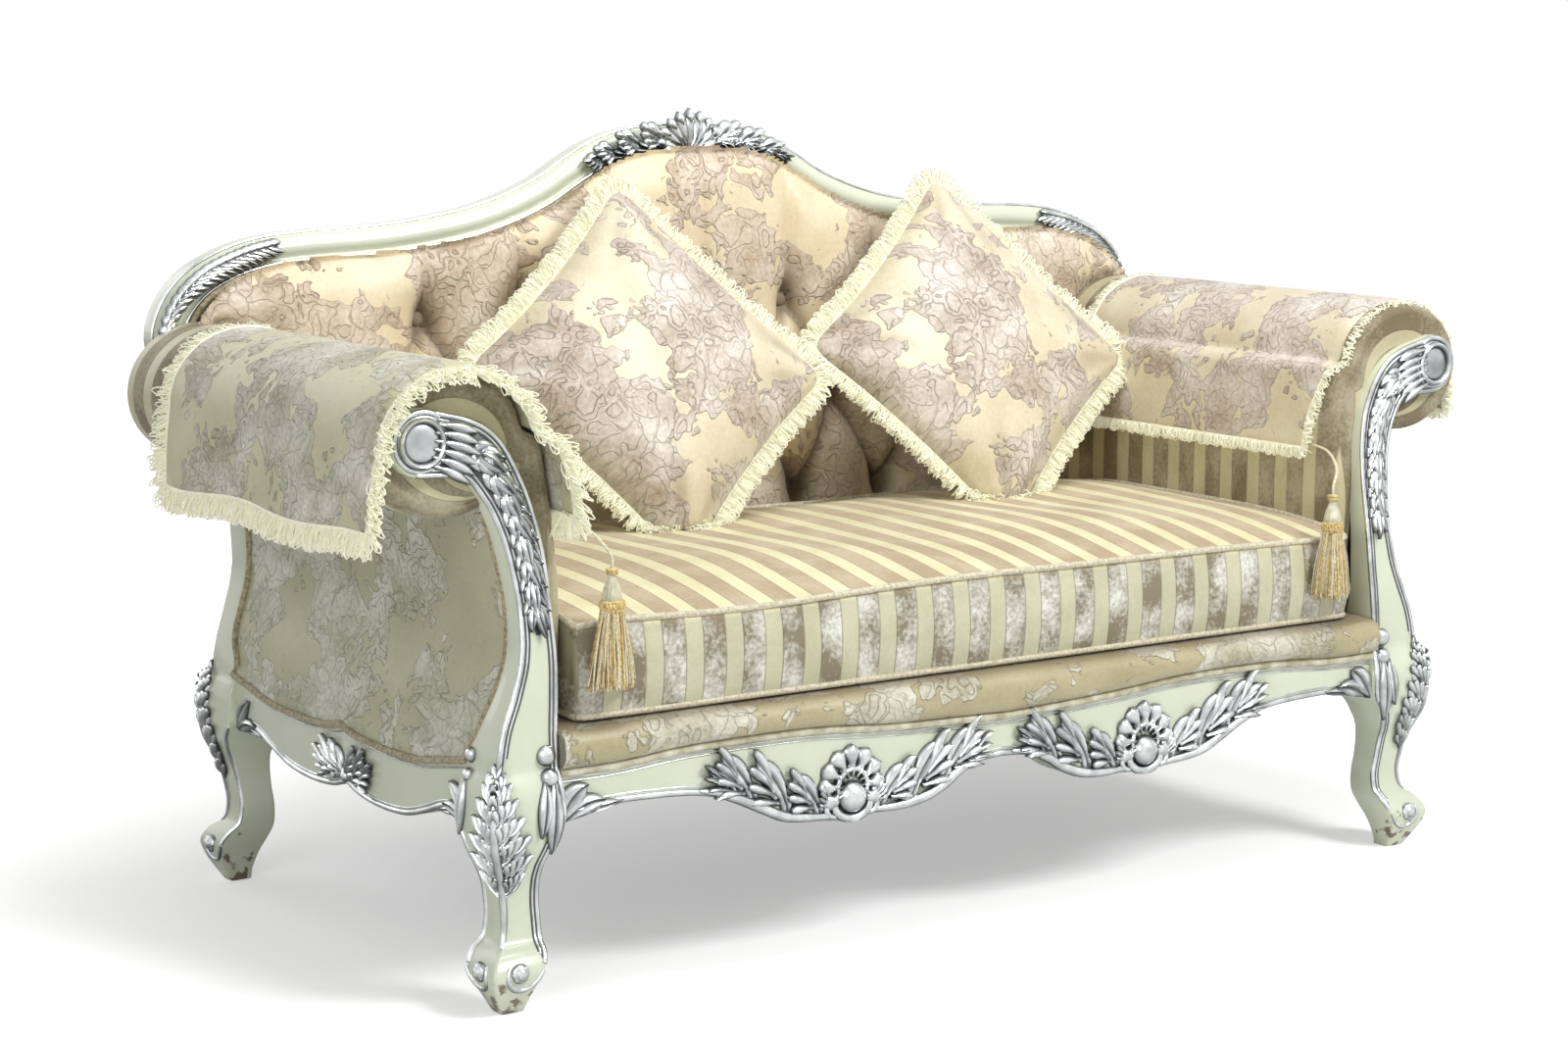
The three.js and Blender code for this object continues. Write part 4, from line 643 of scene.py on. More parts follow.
def stripe_group():
    """Velvet and satin stripes across one coordinate in metres."""
    n, given, result = shader_group("Stripes", [
        ("Across", "Float", 0.0), ("Cloth", "Vector"), ("Period", "Float", 0.06), ("Velvet share", "Float", 0.56)],
        ["Velvet", "Seam", "Crush_sheen"])
    cloth = given["Cloth"]
    shift = n.times(n.minus(n.noise(cloth, 14), 0.5), 0.03)
    share = n.math("FRACT", n.plus(n.math("DIVIDE", given["Across"], given["Period"]), shift))
    half = n.times(given["Velvet share"], 0.5)
    off = n.math("ABSOLUTE", n.minus(share, 0.5))
    edge = n.math("ABSOLUTE", n.minus(off, half))
    patches, pile = n.noise(cloth, 15, 3), n.noise(cloth, 190, 3)
    n.feed(result["Velvet"], n.above(half, off, 70.0))
    n.feed(result["Seam"], n.minus(1.0, n.times(edge, 42.0), clamp=True))
    n.feed(result["Crush_sheen"], n.plus(n.times(patches, 0.68), n.times(pile, 0.32)))
    return n.tree


def material(name, roughness=0.5, metallic=0.0, color=(0.5, 0.5, 0.5), **sockets):
    finish = bpy.data.materials.new(name)
    finish.use_nodes = True
    shader = finish.node_tree.nodes["Principled BSDF"]
    shader.inputs["Base Color"].default_value = (*color, 1)
    shader.inputs["Roughness"].default_value = roughness
    shader.inputs["Metallic"].default_value = metallic
    for label, value in sockets.items():
        shader.inputs[label.replace("_", " ")].default_value = value
    return finish, Nodes(finish.node_tree), shader


def ramp(n, factor, *stops):
    node = n.add("ShaderNodeValToRGB", factor)
    while len(node.color_ramp.elements) < len(stops):
        node.color_ramp.elements.new(0.5)
    for element, (at, color) in zip(node.color_ramp.elements, stops):
        element.position = at
        element.color = (*color, 1)
    return node.outputs[0]


def blend_colors(n, factor, first, second):
    node = n.add("ShaderNodeMix", data_type="RGBA")
    n.feed(node.inputs[0], factor)
    n.feed(node.inputs[6], first if isinstance(first, bpy.types.NodeSocket) else (*first, 1))
    n.feed(node.inputs[7], second if isinstance(second, bpy.types.NodeSocket) else (*second, 1))
    return node.outputs[2]


def add_bump(n, shader, height, distance, strength):
    settings = {"Strength": strength, "Distance": distance, "Height": height}
    n.feed(shader.inputs["Normal"], n.take("ShaderNodeBump", put=settings))


def lacquer_finish():
    finish, n, shader = material("cream_lacquer", roughness=0.28, Coat_Weight=0.5, Coat_Roughness=0.08)
    wear = n.add("ShaderNodeGroup", node_tree=WEAR, put={"Position": n.place(), "Spots": 0.3})
    tone = ramp(n, wear.outputs["Mottle"], (0.3, (0.67, 0.71, 0.55)), (0.7, (0.73, 0.765, 0.61)))
    n.feed(shader.inputs["Base Color"], blend_colors(n, wear.outputs["Rubbed"], tone, (0.19, 0.15, 0.10)))
    return finish


def silver_finish():
    """Silver with painted light: bright on top, a painted dark reflection underneath, and painted shade nearly black
    in the hollows.
    """
    finish, n, shader = material("silver_leaf", roughness=0.24, metallic=1.0)
    cloud = n.noise(n.place(), 38, 5)
    bright = ramp(n, cloud, (0.3, (0.52, 0.54, 0.545)), (0.7, (0.93, 0.95, 0.95)))
    # painted dark reflection: faces turned downwards are darkened
    facing_up = n.take("ShaderNodeSeparateXYZ", n.place("Normal"), output=2)
    dark_underside = n.minus(0.12, n.times(facing_up, 1.1), clamp=True)
    bright = blend_colors(n, n.times(dark_underside, 0.7), bright, (0.13, 0.14, 0.145))
    # painted shade: the piece's painted light value darkens its hollows nearly to black
    hollow_shade = n.mark()
    n.feed(shader.inputs["Base Color"], blend_colors(n, hollow_shade, bright, (0.07, 0.075, 0.08)))
    n.feed(shader.inputs["Roughness"], n.plus(n.times(hollow_shade, 0.3), 0.22))
    add_bump(n, shader, cloud, 0.0006, 0.5)
    return finish


# Velvet in its nap, velvet crushed with a painted sheen highlight, satin, and satin with a painted highlight where it
# catches the light
PEACH = ((0.46, 0.34, 0.225), (0.88, 0.79, 0.67), (0.74, 0.61, 0.40), (0.84, 0.73, 0.52))
LILAC = ((0.42, 0.325, 0.24), (0.92, 0.86, 0.79), (0.70, 0.61, 0.42), (0.82, 0.75, 0.57))
# painted shade: the side panels' damask in darker tones, as it lies away from the light
SAGE_SHADED = ((0.40, 0.40, 0.27), (0.80, 0.80, 0.70), (0.43, 0.425, 0.27), (0.50, 0.495, 0.325))
# painted shade: the left cover's damask in darker tones than the right cover's, as it lies in shade
STRAW_SHADED = ((0.35, 0.32, 0.20), (0.86, 0.85, 0.75), (0.55, 0.52, 0.325), (0.64, 0.61, 0.395))
# painted shade: the border's damask in darker tones, in the shadow of the cushion
WHEAT_SHADED = ((0.40, 0.36, 0.235), (0.84, 0.82, 0.70), (0.41, 0.36, 0.205), (0.50, 0.445, 0.265))
# painted light: the cushion's top in lighter tones than its face, where the light falls on it
STRIPE_TOP_LIT = ((0.44, 0.345, 0.21), (0.57, 0.475, 0.325), (0.76, 0.70, 0.42), (0.85, 0.80, 0.52))
STRIPE_FACE = ((0.25, 0.215, 0.14), (0.80, 0.79, 0.71), (0.55, 0.53, 0.36), (0.63, 0.61, 0.43))
# painted shade: the arm's stripes darkened for the shadow under the cover
STRIPE_ARM_SHADED = ((0.20, 0.16, 0.09), (0.42, 0.37, 0.26), (0.50, 0.45, 0.28), (0.60, 0.55, 0.36))
SHADOW = (0.16, 0.115, 0.065)


def nap_colors(n, weave, tones, low=0.43, high=0.62):
    """Satin and crushed velvet, mixed by the weave's velvet mask; the crush patches take the lighter tones as painted
    sheen highlights.
    """
    crush_sheen, velvet = weave.outputs["Crush_sheen"], weave.outputs["Velvet"]
    pile = ramp(n, crush_sheen, (low, tones[0]), (high, tones[1]))
    ground = ramp(n, crush_sheen, (0.4, tones[2]), (0.6, tones[3]))
    return blend_colors(n, velvet, ground, pile)


def damask_finish(name, coordinates, tones, repeat=0.27, turn=(0, 0, 0), place=(0, 0, 0), high=0.66):
    finish, n, shader = material(name, roughness=0.6, Sheen_Weight=0.3, Sheen_Roughness=0.35)
    lay = n.take("ShaderNodeMapping", n.place(coordinates), put={"Rotation": turn, "Location": place})
    weave = n.add("ShaderNodeGroup", node_tree=DAMASK, put={"Cloth": lay, "Repeat": repeat})
    cloth = nap_colors(n, weave, tones, low=0.37, high=high)
    shade = tuple(c * 0.5 for c in tones[0])
    lined = blend_colors(n, n.times(weave.outputs["Line"], 0.42), cloth, shade)
    # painted shade: the painted light value darkens tuft pits, pleats, gathers and the border's roll towards SHADOW
    n.feed(shader.inputs["Base Color"], blend_colors(n, n.times(n.mark(), 0.85), lined, SHADOW))
    n.feed(shader.inputs["Roughness"], n.plus(n.times(weave.outputs["Velvet"], 0.3), 0.4))
    height = n.plus(weave.outputs["Relief"], n.times(weave.outputs["Crush_sheen"], 0.5))
    add_bump(n, shader, height, 0.0028, 1.0)
    return finish


def striped_finish(name, coordinates, offset, face, top):
    """Stripes across the cloth, in the tones of the face, and in the lit tones of the top where the painted light
    mark is set, as painted light on the top.
    """
    finish, n, shader = material(name, roughness=0.6, Sheen_Weight=0.3, Sheen_Roughness=0.35)
    across = n.plus(n.take("ShaderNodeSeparateXYZ", n.place(coordinates)), offset)
    weave = n.add("ShaderNodeGroup", node_tree=STRIPES, put={"Across": across, "Cloth": n.place()})
    cloth = blend_colors(n, n.mark(), nap_colors(n, weave, face), nap_colors(n, weave, top))
    velvet, seam = weave.outputs["Velvet"], weave.outputs["Seam"]
    # painted shade along the seams between the stripes
    n.feed(shader.inputs["Base Color"], blend_colors(n, n.times(seam, 0.45), cloth, SHADOW))
    n.feed(shader.inputs["Roughness"], n.plus(n.times(velvet, 0.34), 0.4))
    height = n.plus(n.minus(velvet, n.times(seam, 0.5)), n.times(weave.outputs["Crush_sheen"], 0.5))
    add_bump(n, shader, height, 0.0013, 0.8)
    return finish


def thread_finish(name, dark, light, scale, roughness=0.55, glow=0.0):
    """Thread, with a little painted glow from its own emission, brightening loose loops as if light passed through
    them.
    """
    finish, n, shader = material(name, roughness=roughness, Sheen_Weight=0.3, Sheen_Roughness=0.4,
                                 Emission_Color=(*light, 1), Emission_Strength=glow)
    n.feed(shader.inputs["Base Color"], ramp(n, n.noise(n.place(), scale), (0.35, dark), (0.65, light)))
    return finish


def plain_finish(name, color, roughness=0.6, metallic=0.0, grain=0.0):
    finish, n, shader = material(name, roughness=roughness, metallic=metallic, color=color)
    if grain:
        dark = tuple(c * 0.8 for c in color)
        n.feed(shader.inputs["Base Color"], ramp(n, n.noise(n.place(), grain), (0.35, dark), (0.65, color)))
    return finish


BEADING = beading_tree()
FRINGE = fringe_tree()
STRANDS = strands_tree()
BUTTONS = buttons_tree()
WEAR = wear_group()
DAMASK = damask_group()
STRIPES = stripe_group()

lacquer = lacquer_finish()
silver = silver_finish()
back_damask = damask_finish("damask_back", "UV", PEACH)
border_damask = damask_finish("damask_border", "UV", WHEAT_SHADED, place=(0.31, 0.12, 0))
cushion_stripes = striped_finish("cushion_stripes", "Object", 0.0, STRIPE_FACE, STRIPE_TOP_LIT)
arm_stripes = striped_finish("arm_stripes", "UV", 0.012, STRIPE_ARM_SHADED, STRIPE_FACE)
piping_thread = thread_finish("piping_cloth", (0.50, 0.44, 0.31), (0.74, 0.69, 0.53), 220)
border_gimp = thread_finish("border_gimp_cloth", (0.42, 0.38, 0.24), (0.72, 0.69, 0.54), 45)
gimp_thread = thread_finish("gimp_cloth", (0.22, 0.18, 0.10), (0.50, 0.43, 0.28), 180)
# painted glow: emission brightens the fringe beyond what the lamps give
fringe_thread = thread_finish("fringe_thread", (0.95, 0.935, 0.66), (0.99, 0.985, 0.84), 300, 0.45, glow=0.14)
tassel_gold = thread_finish("tassel_gold_thread", (0.42, 0.27, 0.07), (0.86, 0.68, 0.30), 240, 0.35)
tassel_cream = thread_finish("tassel_cream_thread", (0.74, 0.62, 0.34), (0.95, 0.91, 0.72), 260, 0.35)
tassel_satin = thread_finish("tassel_satin", (0.55, 0.53, 0.36), (0.78, 0.76, 0.58), 90, 0.3)
beech = plain_finish("beech", (0.60, 0.42, 0.22), 0.55, grain=40)
jute = plain_finish("jute_webbing", (0.38, 0.29, 0.16), 0.85, grain=220)
cambric = plain_finish("black_cambric", (0.02, 0.02, 0.018), 0.9)
zinc = plain_finish("zinc", (0.6, 0.6, 0.58), 0.35, metallic=1.0)
back_cloth = damask_finish("outside_back_damask", "Object", STRAW_SHADED, turn=(math.radians(-90), 0, 0))
# painted dark reflection: near-black lines beside the silver edges
groove_shade = plain_finish("silver_groove_shade", (0.10, 0.105, 0.10), 0.5)
button_cloth = plain_finish("button_cloth", (0.30, 0.235, 0.16), 0.6, grain=120)
tassel_cord_thread = thread_finish("tassel_cord_thread", (0.62, 0.58, 0.36), (0.86, 0.82, 0.60), 400, 0.5)
panel_damask = damask_finish("panel_damask", "UV", SAGE_SHADED, 0.26, place=(0.11, 0.05, 0), high=0.62)
cover_damask = {side: damask_finish(f"cover_damask_{side}", "UV", tones, 0.26, turn=(0, 0, math.radians(90)),
                                    place=(0.03, shift, 0))
                for side, tones, shift in (("left", STRAW_SHADED, 0.05), ("right", LILAC, 0.42))}
pillow_damask = {side: damask_finish(f"pillow_damask_{side}", "UV", LILAC, place=(0.02, shift, 0), turn=(0, 0, turn))
                 for side, shift, turn in (("left", 0.03, 0.75), ("right", 0.11, 0.7))}


# Posts

def post_section(half, rounding=4.5):
    """A post's section with rounded corners, as widths and depths, where BACK_MARK is its back."""
    near, far = half - rounding, BACK_MARK - rounding
    return [(a + rounding * math.cos(turn), b + rounding * math.sin(turn))
            for a, b, start in ((near, rounding, -90), (near, far, 0), (-near, far, 90), (-near, rounding, 180))
            for turn in (math.radians(start + 90 * step / 4) for step in range(5))]


def section_depth(b, front, back):
    return front + b if b < BACK_MARK / 2 else back - (BACK_MARK - b)


def post_stations():
    """Centre, width and direction of the front post from foot to scroll."""
    rows = []
    for z in np.linspace(0, LEG_HEIGHT * 0.965, 90):
        outer = POST_X + leg_out(z)
        inner = POST_X + reading(INNER_CURVE, z) * BLOCK_WIDTH
        rows.append(((outer + inner) / 2, z, outer - inner))
    keep = FACING_CURVE[:, 1] > LEG_HEIGHT * 0.98
    return np.vstack([rows, evened(FACING_CURVE[keep], 5.0)])


def front_stations():
    """The front post's stations, each with its sideways direction: level along the leg."""
    line = post_stations()
    right = sideways(line)[1]
    right[line[:, 1] < LEG_HEIGHT] = (1, 0)
    return list(zip(line, right))


def front_post():
    rings = []
    for (x, z, width), (rx, rz) in front_stations():
        ring = []
        for a, b in post_section(width / 2):
            px, pz = x + rx * a, max(z + rz * a, 0)
            ring.append((px, section_depth(b, -float(facing_front(pz)), -float(facing_back(pz))), pz))
        rings.append(ring)
    return loft("front_post_body", rings, lacquer, "frame", smooth_angle=50)


def rear_post():
    line = post_stations()
    rings = []
    for x, z, width in line[line[:, 1] <= STILE_TOP]:
        rise = np.clip((z - LEG_HEIGHT) / (STILE_TOP - LEG_HEIGHT), 0, 1)
        if z < LEG_HEIGHT:
            front, back = POST_REAR + reading(INNER_CURVE, z) * BLOCK_DEPTH, POST_REAR + leg_out(z)
        else:
            front, back = stile_front(z), POST_REAR
        if z > LEG_HEIGHT:
            width = BLOCK_WIDTH + (STILE_WIDTH - BLOCK_WIDTH) * min(rise * 2, 1)
            x += STILE_SPREAD * rise
        rings.append([(x + a, section_depth(b, front, back), z) for a, b in post_section(width / 2)])
    return loft("rear_post_body", rings, lacquer, "frame", smooth_angle=50)


def scroll_disc(name, profile, finish, start, recess=None):
    """A turned piece on the scroll's middle, from pairs of radius and height towards the front."""
    sides = 48
    points = [(SCROLL_X + r * math.cos(turn), start - h, SCROLL_Z + r * math.sin(turn))
              for turn in np.linspace(0, 2 * math.pi, sides, endpoint=False) for r, h in profile]
    return piece(name, points, spun_faces(sides, len(profile)), finish, "frame", recess=recess and recess * sides)


def scroll():
    """The round end of the facing with its turned channel and button."""
    start, depth = -(POST_FRONT - FACING_LEAN - FACING_DEPTH), FACING_DEPTH
    wood = scroll_disc("scroll_wood", [
        (1, 0), (40, 0), (42, 2), (42, depth - 3), (40.5, depth - 0.5), (38, depth), (35, depth - 1.5),
        (33, depth - 4), (28, depth - 5), (24, depth - 4), (1, depth - 4)], lacquer, start)
    # painted shade: the list after the profile darkens the button's rim and channel
    button = scroll_disc("scroll_button", [
        (1, 0), (31, 0), (32, 3), (31, 6.5), (28.5, 8.2), (26, 7), (24.5, 4), (23.5, 2.2), (21, 3.4), (12, 4.4),
        (1, 4.6)], silver, start + 0.5 - depth, [0, 0.6, 0.1, 0, 0, 0.3, 0.9, 0.9, 0.25, 0.2, 0.2])
    return wood, button


def facing_line(side, inset, proud, low):
    """A line on the post's front, inset from its inner or outer edge, from a height up to the scroll."""
    rows = []
    for (x, z, width), (rx, rz) in front_stations():
        if low <= z <= 800:
            a = side * (width / 2 - inset)
            px, pz = x + rx * a, z + rz * a
            rows.append((px, -float(facing_front(pz)) - proud, pz))
    return rows


def scroll_spiral():
    """The silver edge that runs round the scroll and sinks in towards its button."""
    front = -(POST_FRONT - FACING_LEAN)
    spiral = []
    for share in np.linspace(0, 1, 110):
        turn = math.radians(128 - 620 * share)
        radius = 38.5 - 12.0 * share
        spiral.append((SCROLL_X + radius * math.cos(turn), front + 0.6 + 2.2 * share,
                       SCROLL_Z + radius * math.sin(turn)))
    return spiral


def leg_line(face, away, inside_edge=False):
    """The silver line up the far edge of a leg's side face, or up its inner edge."""
    rows = []
    for z in np.linspace(60, 232, 40):
        back, out = reading(INNER_CURVE, z), leg_out(z) - 1.2
        if inside_edge:
            rows.append((POST_X + back * BLOCK_WIDTH + 2.5, away * (face + out), z))
        else:
            rows.append((POST_X + out, away * (face + back * BLOCK_DEPTH + 2.5), z))
    return rows


# Carving

class Carving:
    """Leaves, balls and ribs gathered into one carved piece."""

    def __init__(self):
        self.points, self.faces, self.recess = [], [], []

    def add(self, points, recess, columns):
        """A closed skin over rows of points, with how deep in shadow each point lies."""
        start = len(self.points)
        self.points += [tuple(p) for p in points]
        self.faces += [tuple(start + i for i in face) for face in skin_faces(len(points) // columns, columns)]
        self.recess += recess

    def bend(self, move, start=0):
        """Moves the points from one on to where move puts them."""
        self.points[start:] = [move(*point) for point in self.points[start:]]

    def leaf(self, origin, along, across, out, length, width, height, turn=0.0, lift=0.0, blunt=0.9, ridge=False,
             foot=0.12, steps=10, tip=0.8):
        """A lobe that lies on a surface: its spine starts along and turns towards across."""
        s = np.linspace(0, 1, steps)
        angle = turn * s
        step = length / (steps - 1)
        run = np.concatenate([[0], np.cumsum((np.cos(angle[1:]) + np.cos(angle[:-1])) / 2 * step)])
        side = np.concatenate([[0], np.cumsum((np.sin(angle[1:]) + np.sin(angle[:-1])) / 2 * step)])
        wide = width / 2 * np.maximum(np.sin(np.pi * s ** blunt) ** tip, foot * (1 - s) + 0.03)
        tall = height * (0.45 + 0.55 * np.sin(np.pi * np.clip(s * 0.9 + 0.05, 0, 1)))
        # second of each pair: painted shade, darker towards the leaf's edges
        half = [(0, 1), (0.5, 0.35), (0.85, 0), (1, 0)] if ridge else [(0, 1), (0.72, 0.2), (1, 0), (0.5, 0.85)]
        # painted shade: the end rings are darkened, and the sunk foot fully
        rings, dark = [], []
        for k in range(steps):
            tangent, normal = leaning(along, across, angle[k])
            centre = origin + run[k] * along + side[k] * across + out * lift * s[k] ** 2
            for t, (h, d) in zip((-1, -0.8, -0.38, 0, 0.38, 0.8, 1), half + half[-2::-1]):
                rings.append(centre + normal * wide[k] * t + out * tall[k] * h)
                dark.append(d if 0 < k < steps - 1 else 0.8)
            rings.append(centre - out * 2.0)
            dark.append(1)
        self.add(rings, dark, 8)

    def ball(self, centre, out, radius, height, rings=8, sides=18):
        side = np.cross(out, Z) if abs(out[2]) < 0.9 else X
        side = side / np.linalg.norm(side)
        up = np.cross(side, out)
        # painted shade: darker towards the ball's foot
        points, dark = [], []
        for r in range(rings + 1):
            lean = math.pi / 2 * r / rings
            for k in range(sides):
                turn = 2 * math.pi * k / sides
                flat = side * math.cos(turn) + up * math.sin(turn)
                reach = radius * max(math.cos(lean), 0.02)
                points.append(centre + flat * reach + out * (height * math.sin(lean) - 1.5))
                dark.append(max(0.0, 0.9 - 1.6 * r / rings))
        self.add(points, dark, sides)

    def rib(self, line, radius, out, ends=0.35, count=8):
        """A raised rib of changing thickness along a line on a surface."""
        line = np.asarray(line, float)
        along = unit(np.gradient(line, axis=0))
        # painted shade: the rib's underside is darkened
        rings, dark = [], []
        for k, (point, direction) in enumerate(zip(line, along)):
            side = np.cross(direction, out)
            side /= np.linalg.norm(side)
            size = radius * (ends + (1 - ends) * math.sin(math.pi * (k / (len(line) - 1))) ** 0.6)
            for c in range(count):
                turn = 2 * math.pi * c / count
                rings.append(point + side * size * math.cos(turn) + out * size * math.sin(turn))
                dark.append(0.0 if math.sin(turn) > 0.3 else 0.7)
        self.add(rings, dark, count)

    def shell(self, centre, radius, spread, foot, lobes=9):
        """A scallop on a front face: fluted lobes fanned round a centre."""
        for i in range(lobes):
            along, across = leaning(Z, X, math.radians(spread * (i / (lobes - 1) - 0.5)))
            reach = radius * (1 - foot) * (1 - 0.14 * abs(i / (lobes - 1) - 0.5) * 2)
            width = 2.25 * radius * math.sin(math.radians(spread) / (2 * lobes))
            self.leaf(centre + along * radius * foot, along, across, -Y, reach, width, 11, blunt=1.9, foot=0.5,
                      ridge=True, steps=11)

    def inner_shell(self, centre, radius, spread, length, drop, width, lobes=9, **shape):
        """The smaller lobes inside a scallop, shorter by drop towards the sides."""
        for i in range(lobes):
            share = i / (lobes - 1)
            along, across = leaning(Z, X, math.radians(spread * (share - 0.5)))
            self.leaf(centre + along * radius, along, across, -Y, length - drop * abs(share * 2 - 1), width, 9,
                      ridge=True, **shape)

    def frond(self, base, tip, out, width, height, curl, lift=4.0, fingers=4):
        """A carved lobe from base to tip: fingers side by side that curl over into round ends."""
        run = np.subtract(tip, base)
        length = np.linalg.norm(run)
        along = run / length
        across = np.cross(out, along)
        way = 1 if curl > 0 else -1
        self.leaf(base, *leaning(along, across, -curl / 2), out, length * 0.9, width * 1.05, height * 0.8,
                  turn=curl * 0.8, lift=lift * 0.6, blunt=1.5, foot=0.6, steps=12)
        for k in range(fingers):
            share = k / (fingers - 1)
            ahead, square = leaning(along, across, -curl / 2 + curl * 0.3 + way * (1.1 * share - 0.35))
            root = base + along * length * (0.44 - 0.24 * share) + across * way * width * 0.18 * (share - 0.3)
            self.leaf(root + out * 2.0, ahead, square, out, length * (0.62 - 0.17 * share), width * 0.46, height,
                      turn=curl * (0.75 - 0.3 * share), lift=lift, blunt=1.9, foot=0.55, steps=14, ridge=True,
                      tip=0.42)

    def piece(self, name):
        return piece(name, self.points, self.faces, silver, "frame", "silver_leaf", smooth_angle=60,
                     recess=self.recess)


X, Y, Z = np.eye(3)


def on_front_rail(x, y, z):
    """Lays a point of flat carving on the bowed rail, inside its end and over its lower edge."""
    return min(x, RAIL_END), y + rail_face(x), max(z, apron_edge(x) - 1.5)


APRON_FRONDS = [(170, 12, 230, 30, 18), (150, 13, 214, 54, 29), (98, 13, 162, 62, 31), (48, 12, 104, 58, 30),
                (34, 14, 50, 44, 17)]
APRON_LIP = np.linspace(26, 232, 50)


def apron_carving():
    """The scallop with its ball and the acanthus sprays either side, on the front rail."""
    carving = Carving()
    cx, cz = 248.0, 222.0
    for side in (-1, 1):
        for near, low, far, high, width in APRON_FRONDS:
            base, tip = ((x, 0, apron_edge(x) + rise)
                         for x, rise in ((cx + side * near, low), (cx + side * far, high)))
            carving.frond(base, tip, -Y, width, 9.5, -side * 0.85)
        lip = [(cx + side * run, -3.5, apron_edge(cx + side * run) + 6.5) for run in APRON_LIP]
        carving.rib(lip, 7.5, -Y, ends=0.3)
    carving.shell((cx, -1, cz), 56, 232, 0.36)
    carving.inner_shell((cx, -3, cz), 13, 232, 24, 0, 6, foot=0.6)
    band = [(cx + 23 * math.sin(t), -6, cz + 23 * math.cos(t)) for t in np.linspace(-1.9, 1.9, 26)]
    carving.rib(band, 3.6, -Y, ends=0.8)
    carving.ball((cx, -2, cz - 14), -Y, 22, 20)
    cup = [(cx + 28 * math.cos(t), -5, cz - 21 + 21 * math.sin(t)) for t in np.linspace(3.0, 6.42, 24)]
    carving.rib(cup, 6.5, -Y, ends=0.7)
    for side in (-1, 1):
        carving.ball((cx + side * 29, -4, cz - 17), -Y, 9, 10)
        hook = [(cx + side * (29 + 11 * math.sin(t)), -4, cz - 26 - 11 * math.cos(t))
                for t in np.linspace(-0.6, 2.6, 16)]
        carving.rib(hook, 4.5, -Y, ends=0.6)
    carving.bend(on_front_rail)
    return carving.piece("apron_carving_right")


def rail_end_leaves():
    """Two overlapping leaves where the front rail meets the post."""
    carving = Carving()
    end = RAIL_END - 2
    carving.leaf((end, 0, 230), -X * 0.30 + Z * 0.95, -X * 0.95 - Z * 0.30, -Y, 62, 36, 9, 0.8, 3, 1.1)
    carving.leaf((end - 4, 0, 230), -X * 0.75 + Z * 0.66, -X * 0.66 - Z * 0.75, -Y, 66, 30, 9, 0.7, 3, 1.1)
    carving.leaf((end - 8, 0, 241), -X, -Z, -Y, 84, 20, 7, -0.2)
    carving.bend(on_front_rail)
    return carving.piece("rail_end_leaves_right")


def side_rail_carving():
    """Acanthus curls meeting at the middle of the side rail, and leaves by the posts."""
    carving = Carving()
    for side in (-1, 1):
        for near, low, far, high, width in ((4, 222, 38, 264, 22), (16, 220, 66, 262, 23), (30, 218, 84, 246, 19)):
            carving.frond((side * near, 0, low), (side * far, 0, high), -Y, width, 9, -side * 0.85)
        for k in range(4):
            carving.leaf((side * 3, -1, 226), *leaning(X * side, Z, 0.5 + 0.3 * k), -Y, 34, 5, 7, -0.4)
    carving.ball((0, -1, 224), -Y, 9, 9)
    for side in (-1, 1):
        end, inward = side * SIDE_HALF, -X * side
        for gap, low, level, up, *size in ((2, 230, 0.4, 0.92, 58, 26, 8, 0.6, 2),
                                           (5, 228, 0.85, 0.52, 56, 20, 8, 0.6, 2)):
            carving.leaf((end - side * gap, 0, low), inward * level + Z * up, inward * up - Z * level, -Y, *size)
        carving.leaf((end - side * 6, 0, 236), inward, -Z, -Y, 70, 13, 5, 0.2)
    carving.bend(lambda x, y, z: (SIDE_FACE - y, x + SIDE_MIDDLE, z))
    return carving.piece("side_carving_right")


KNEE_FRONDS = [(146, 34, 15, 15), (162, 42, 23, 21), (184, 46, 27, 25), (208, 46, 27, 25), (232, 44, 24, 23),
               (254, 40, 20, 20), (272, 34, 14, 15)]


def knee_leaf(face, away, name):
    """A feathered leaf folded over the leg's outer corner, on a long stem."""
    carving = Carving()

    def corner(z):
        return np.array([POST_X + leg_out(z) - 1.5, away * (face + leg_out(z) - 1.5), z])

    stem = [corner(z) for z in np.linspace(84, 302, 40)]
    carving.rib(stem, 5.5, np.array([1.0, away, 0]) / math.sqrt(2), ends=0.55)
    folds = ((-X, Y * away, away), (-Y * away, X, -away))
    for low, rise, reach, width in KNEE_FRONDS:
        for flat, out, way in folds:
            base = corner(low)
            tip = base + Z * rise + flat * reach + out * (leg_out(low + rise) - leg_out(low) + 1.0)
            carving.frond(base + out * 0.5, tip, out, width, 8, 0.85 * way, lift=3.0)
    for flat, out, way in folds:
        carving.leaf(stem[-1] - Z * 26, Z, flat, out, 40, 14, 6, 0.25, 1.5)
    return carving.piece(name)


def foot_bosses(face, away, name):
    """Round bosses at the ends of the foot's scroll."""
    z = 55.0
    out_here = leg_out(z)
    carving = Carving()
    for middle, side, out in (((POST_X - 20, away * (face + out_here - 1), z), -X, Y * away),
                              ((POST_X + out_here - 1, away * (face - 20), z), -Y * away, X)):
        carving.ball(middle, out, 13, 9)
        carving.ball(middle + out * 5.5, out, 8, 5)
        for k in range(8):
            petal = leaning(side, Z, 2 * math.pi * k / 8)[0]
            carving.ball(middle + out * 3 + petal * 9.5, out, 3, 3, rings=4, sides=8)
        band = []
        for i, turn in enumerate(np.linspace(0, math.radians(-215), 26)):
            radius = 33 - 18 * (i / 25) ** 0.6
            point = middle + side * radius * math.cos(turn) + Z * radius * math.sin(turn)
            band.append(point + out * (leg_out(point[2]) - out_here + 0.5))
        carving.rib(band, 3.4, out, ends=0.7)
    return carving.piece(name)


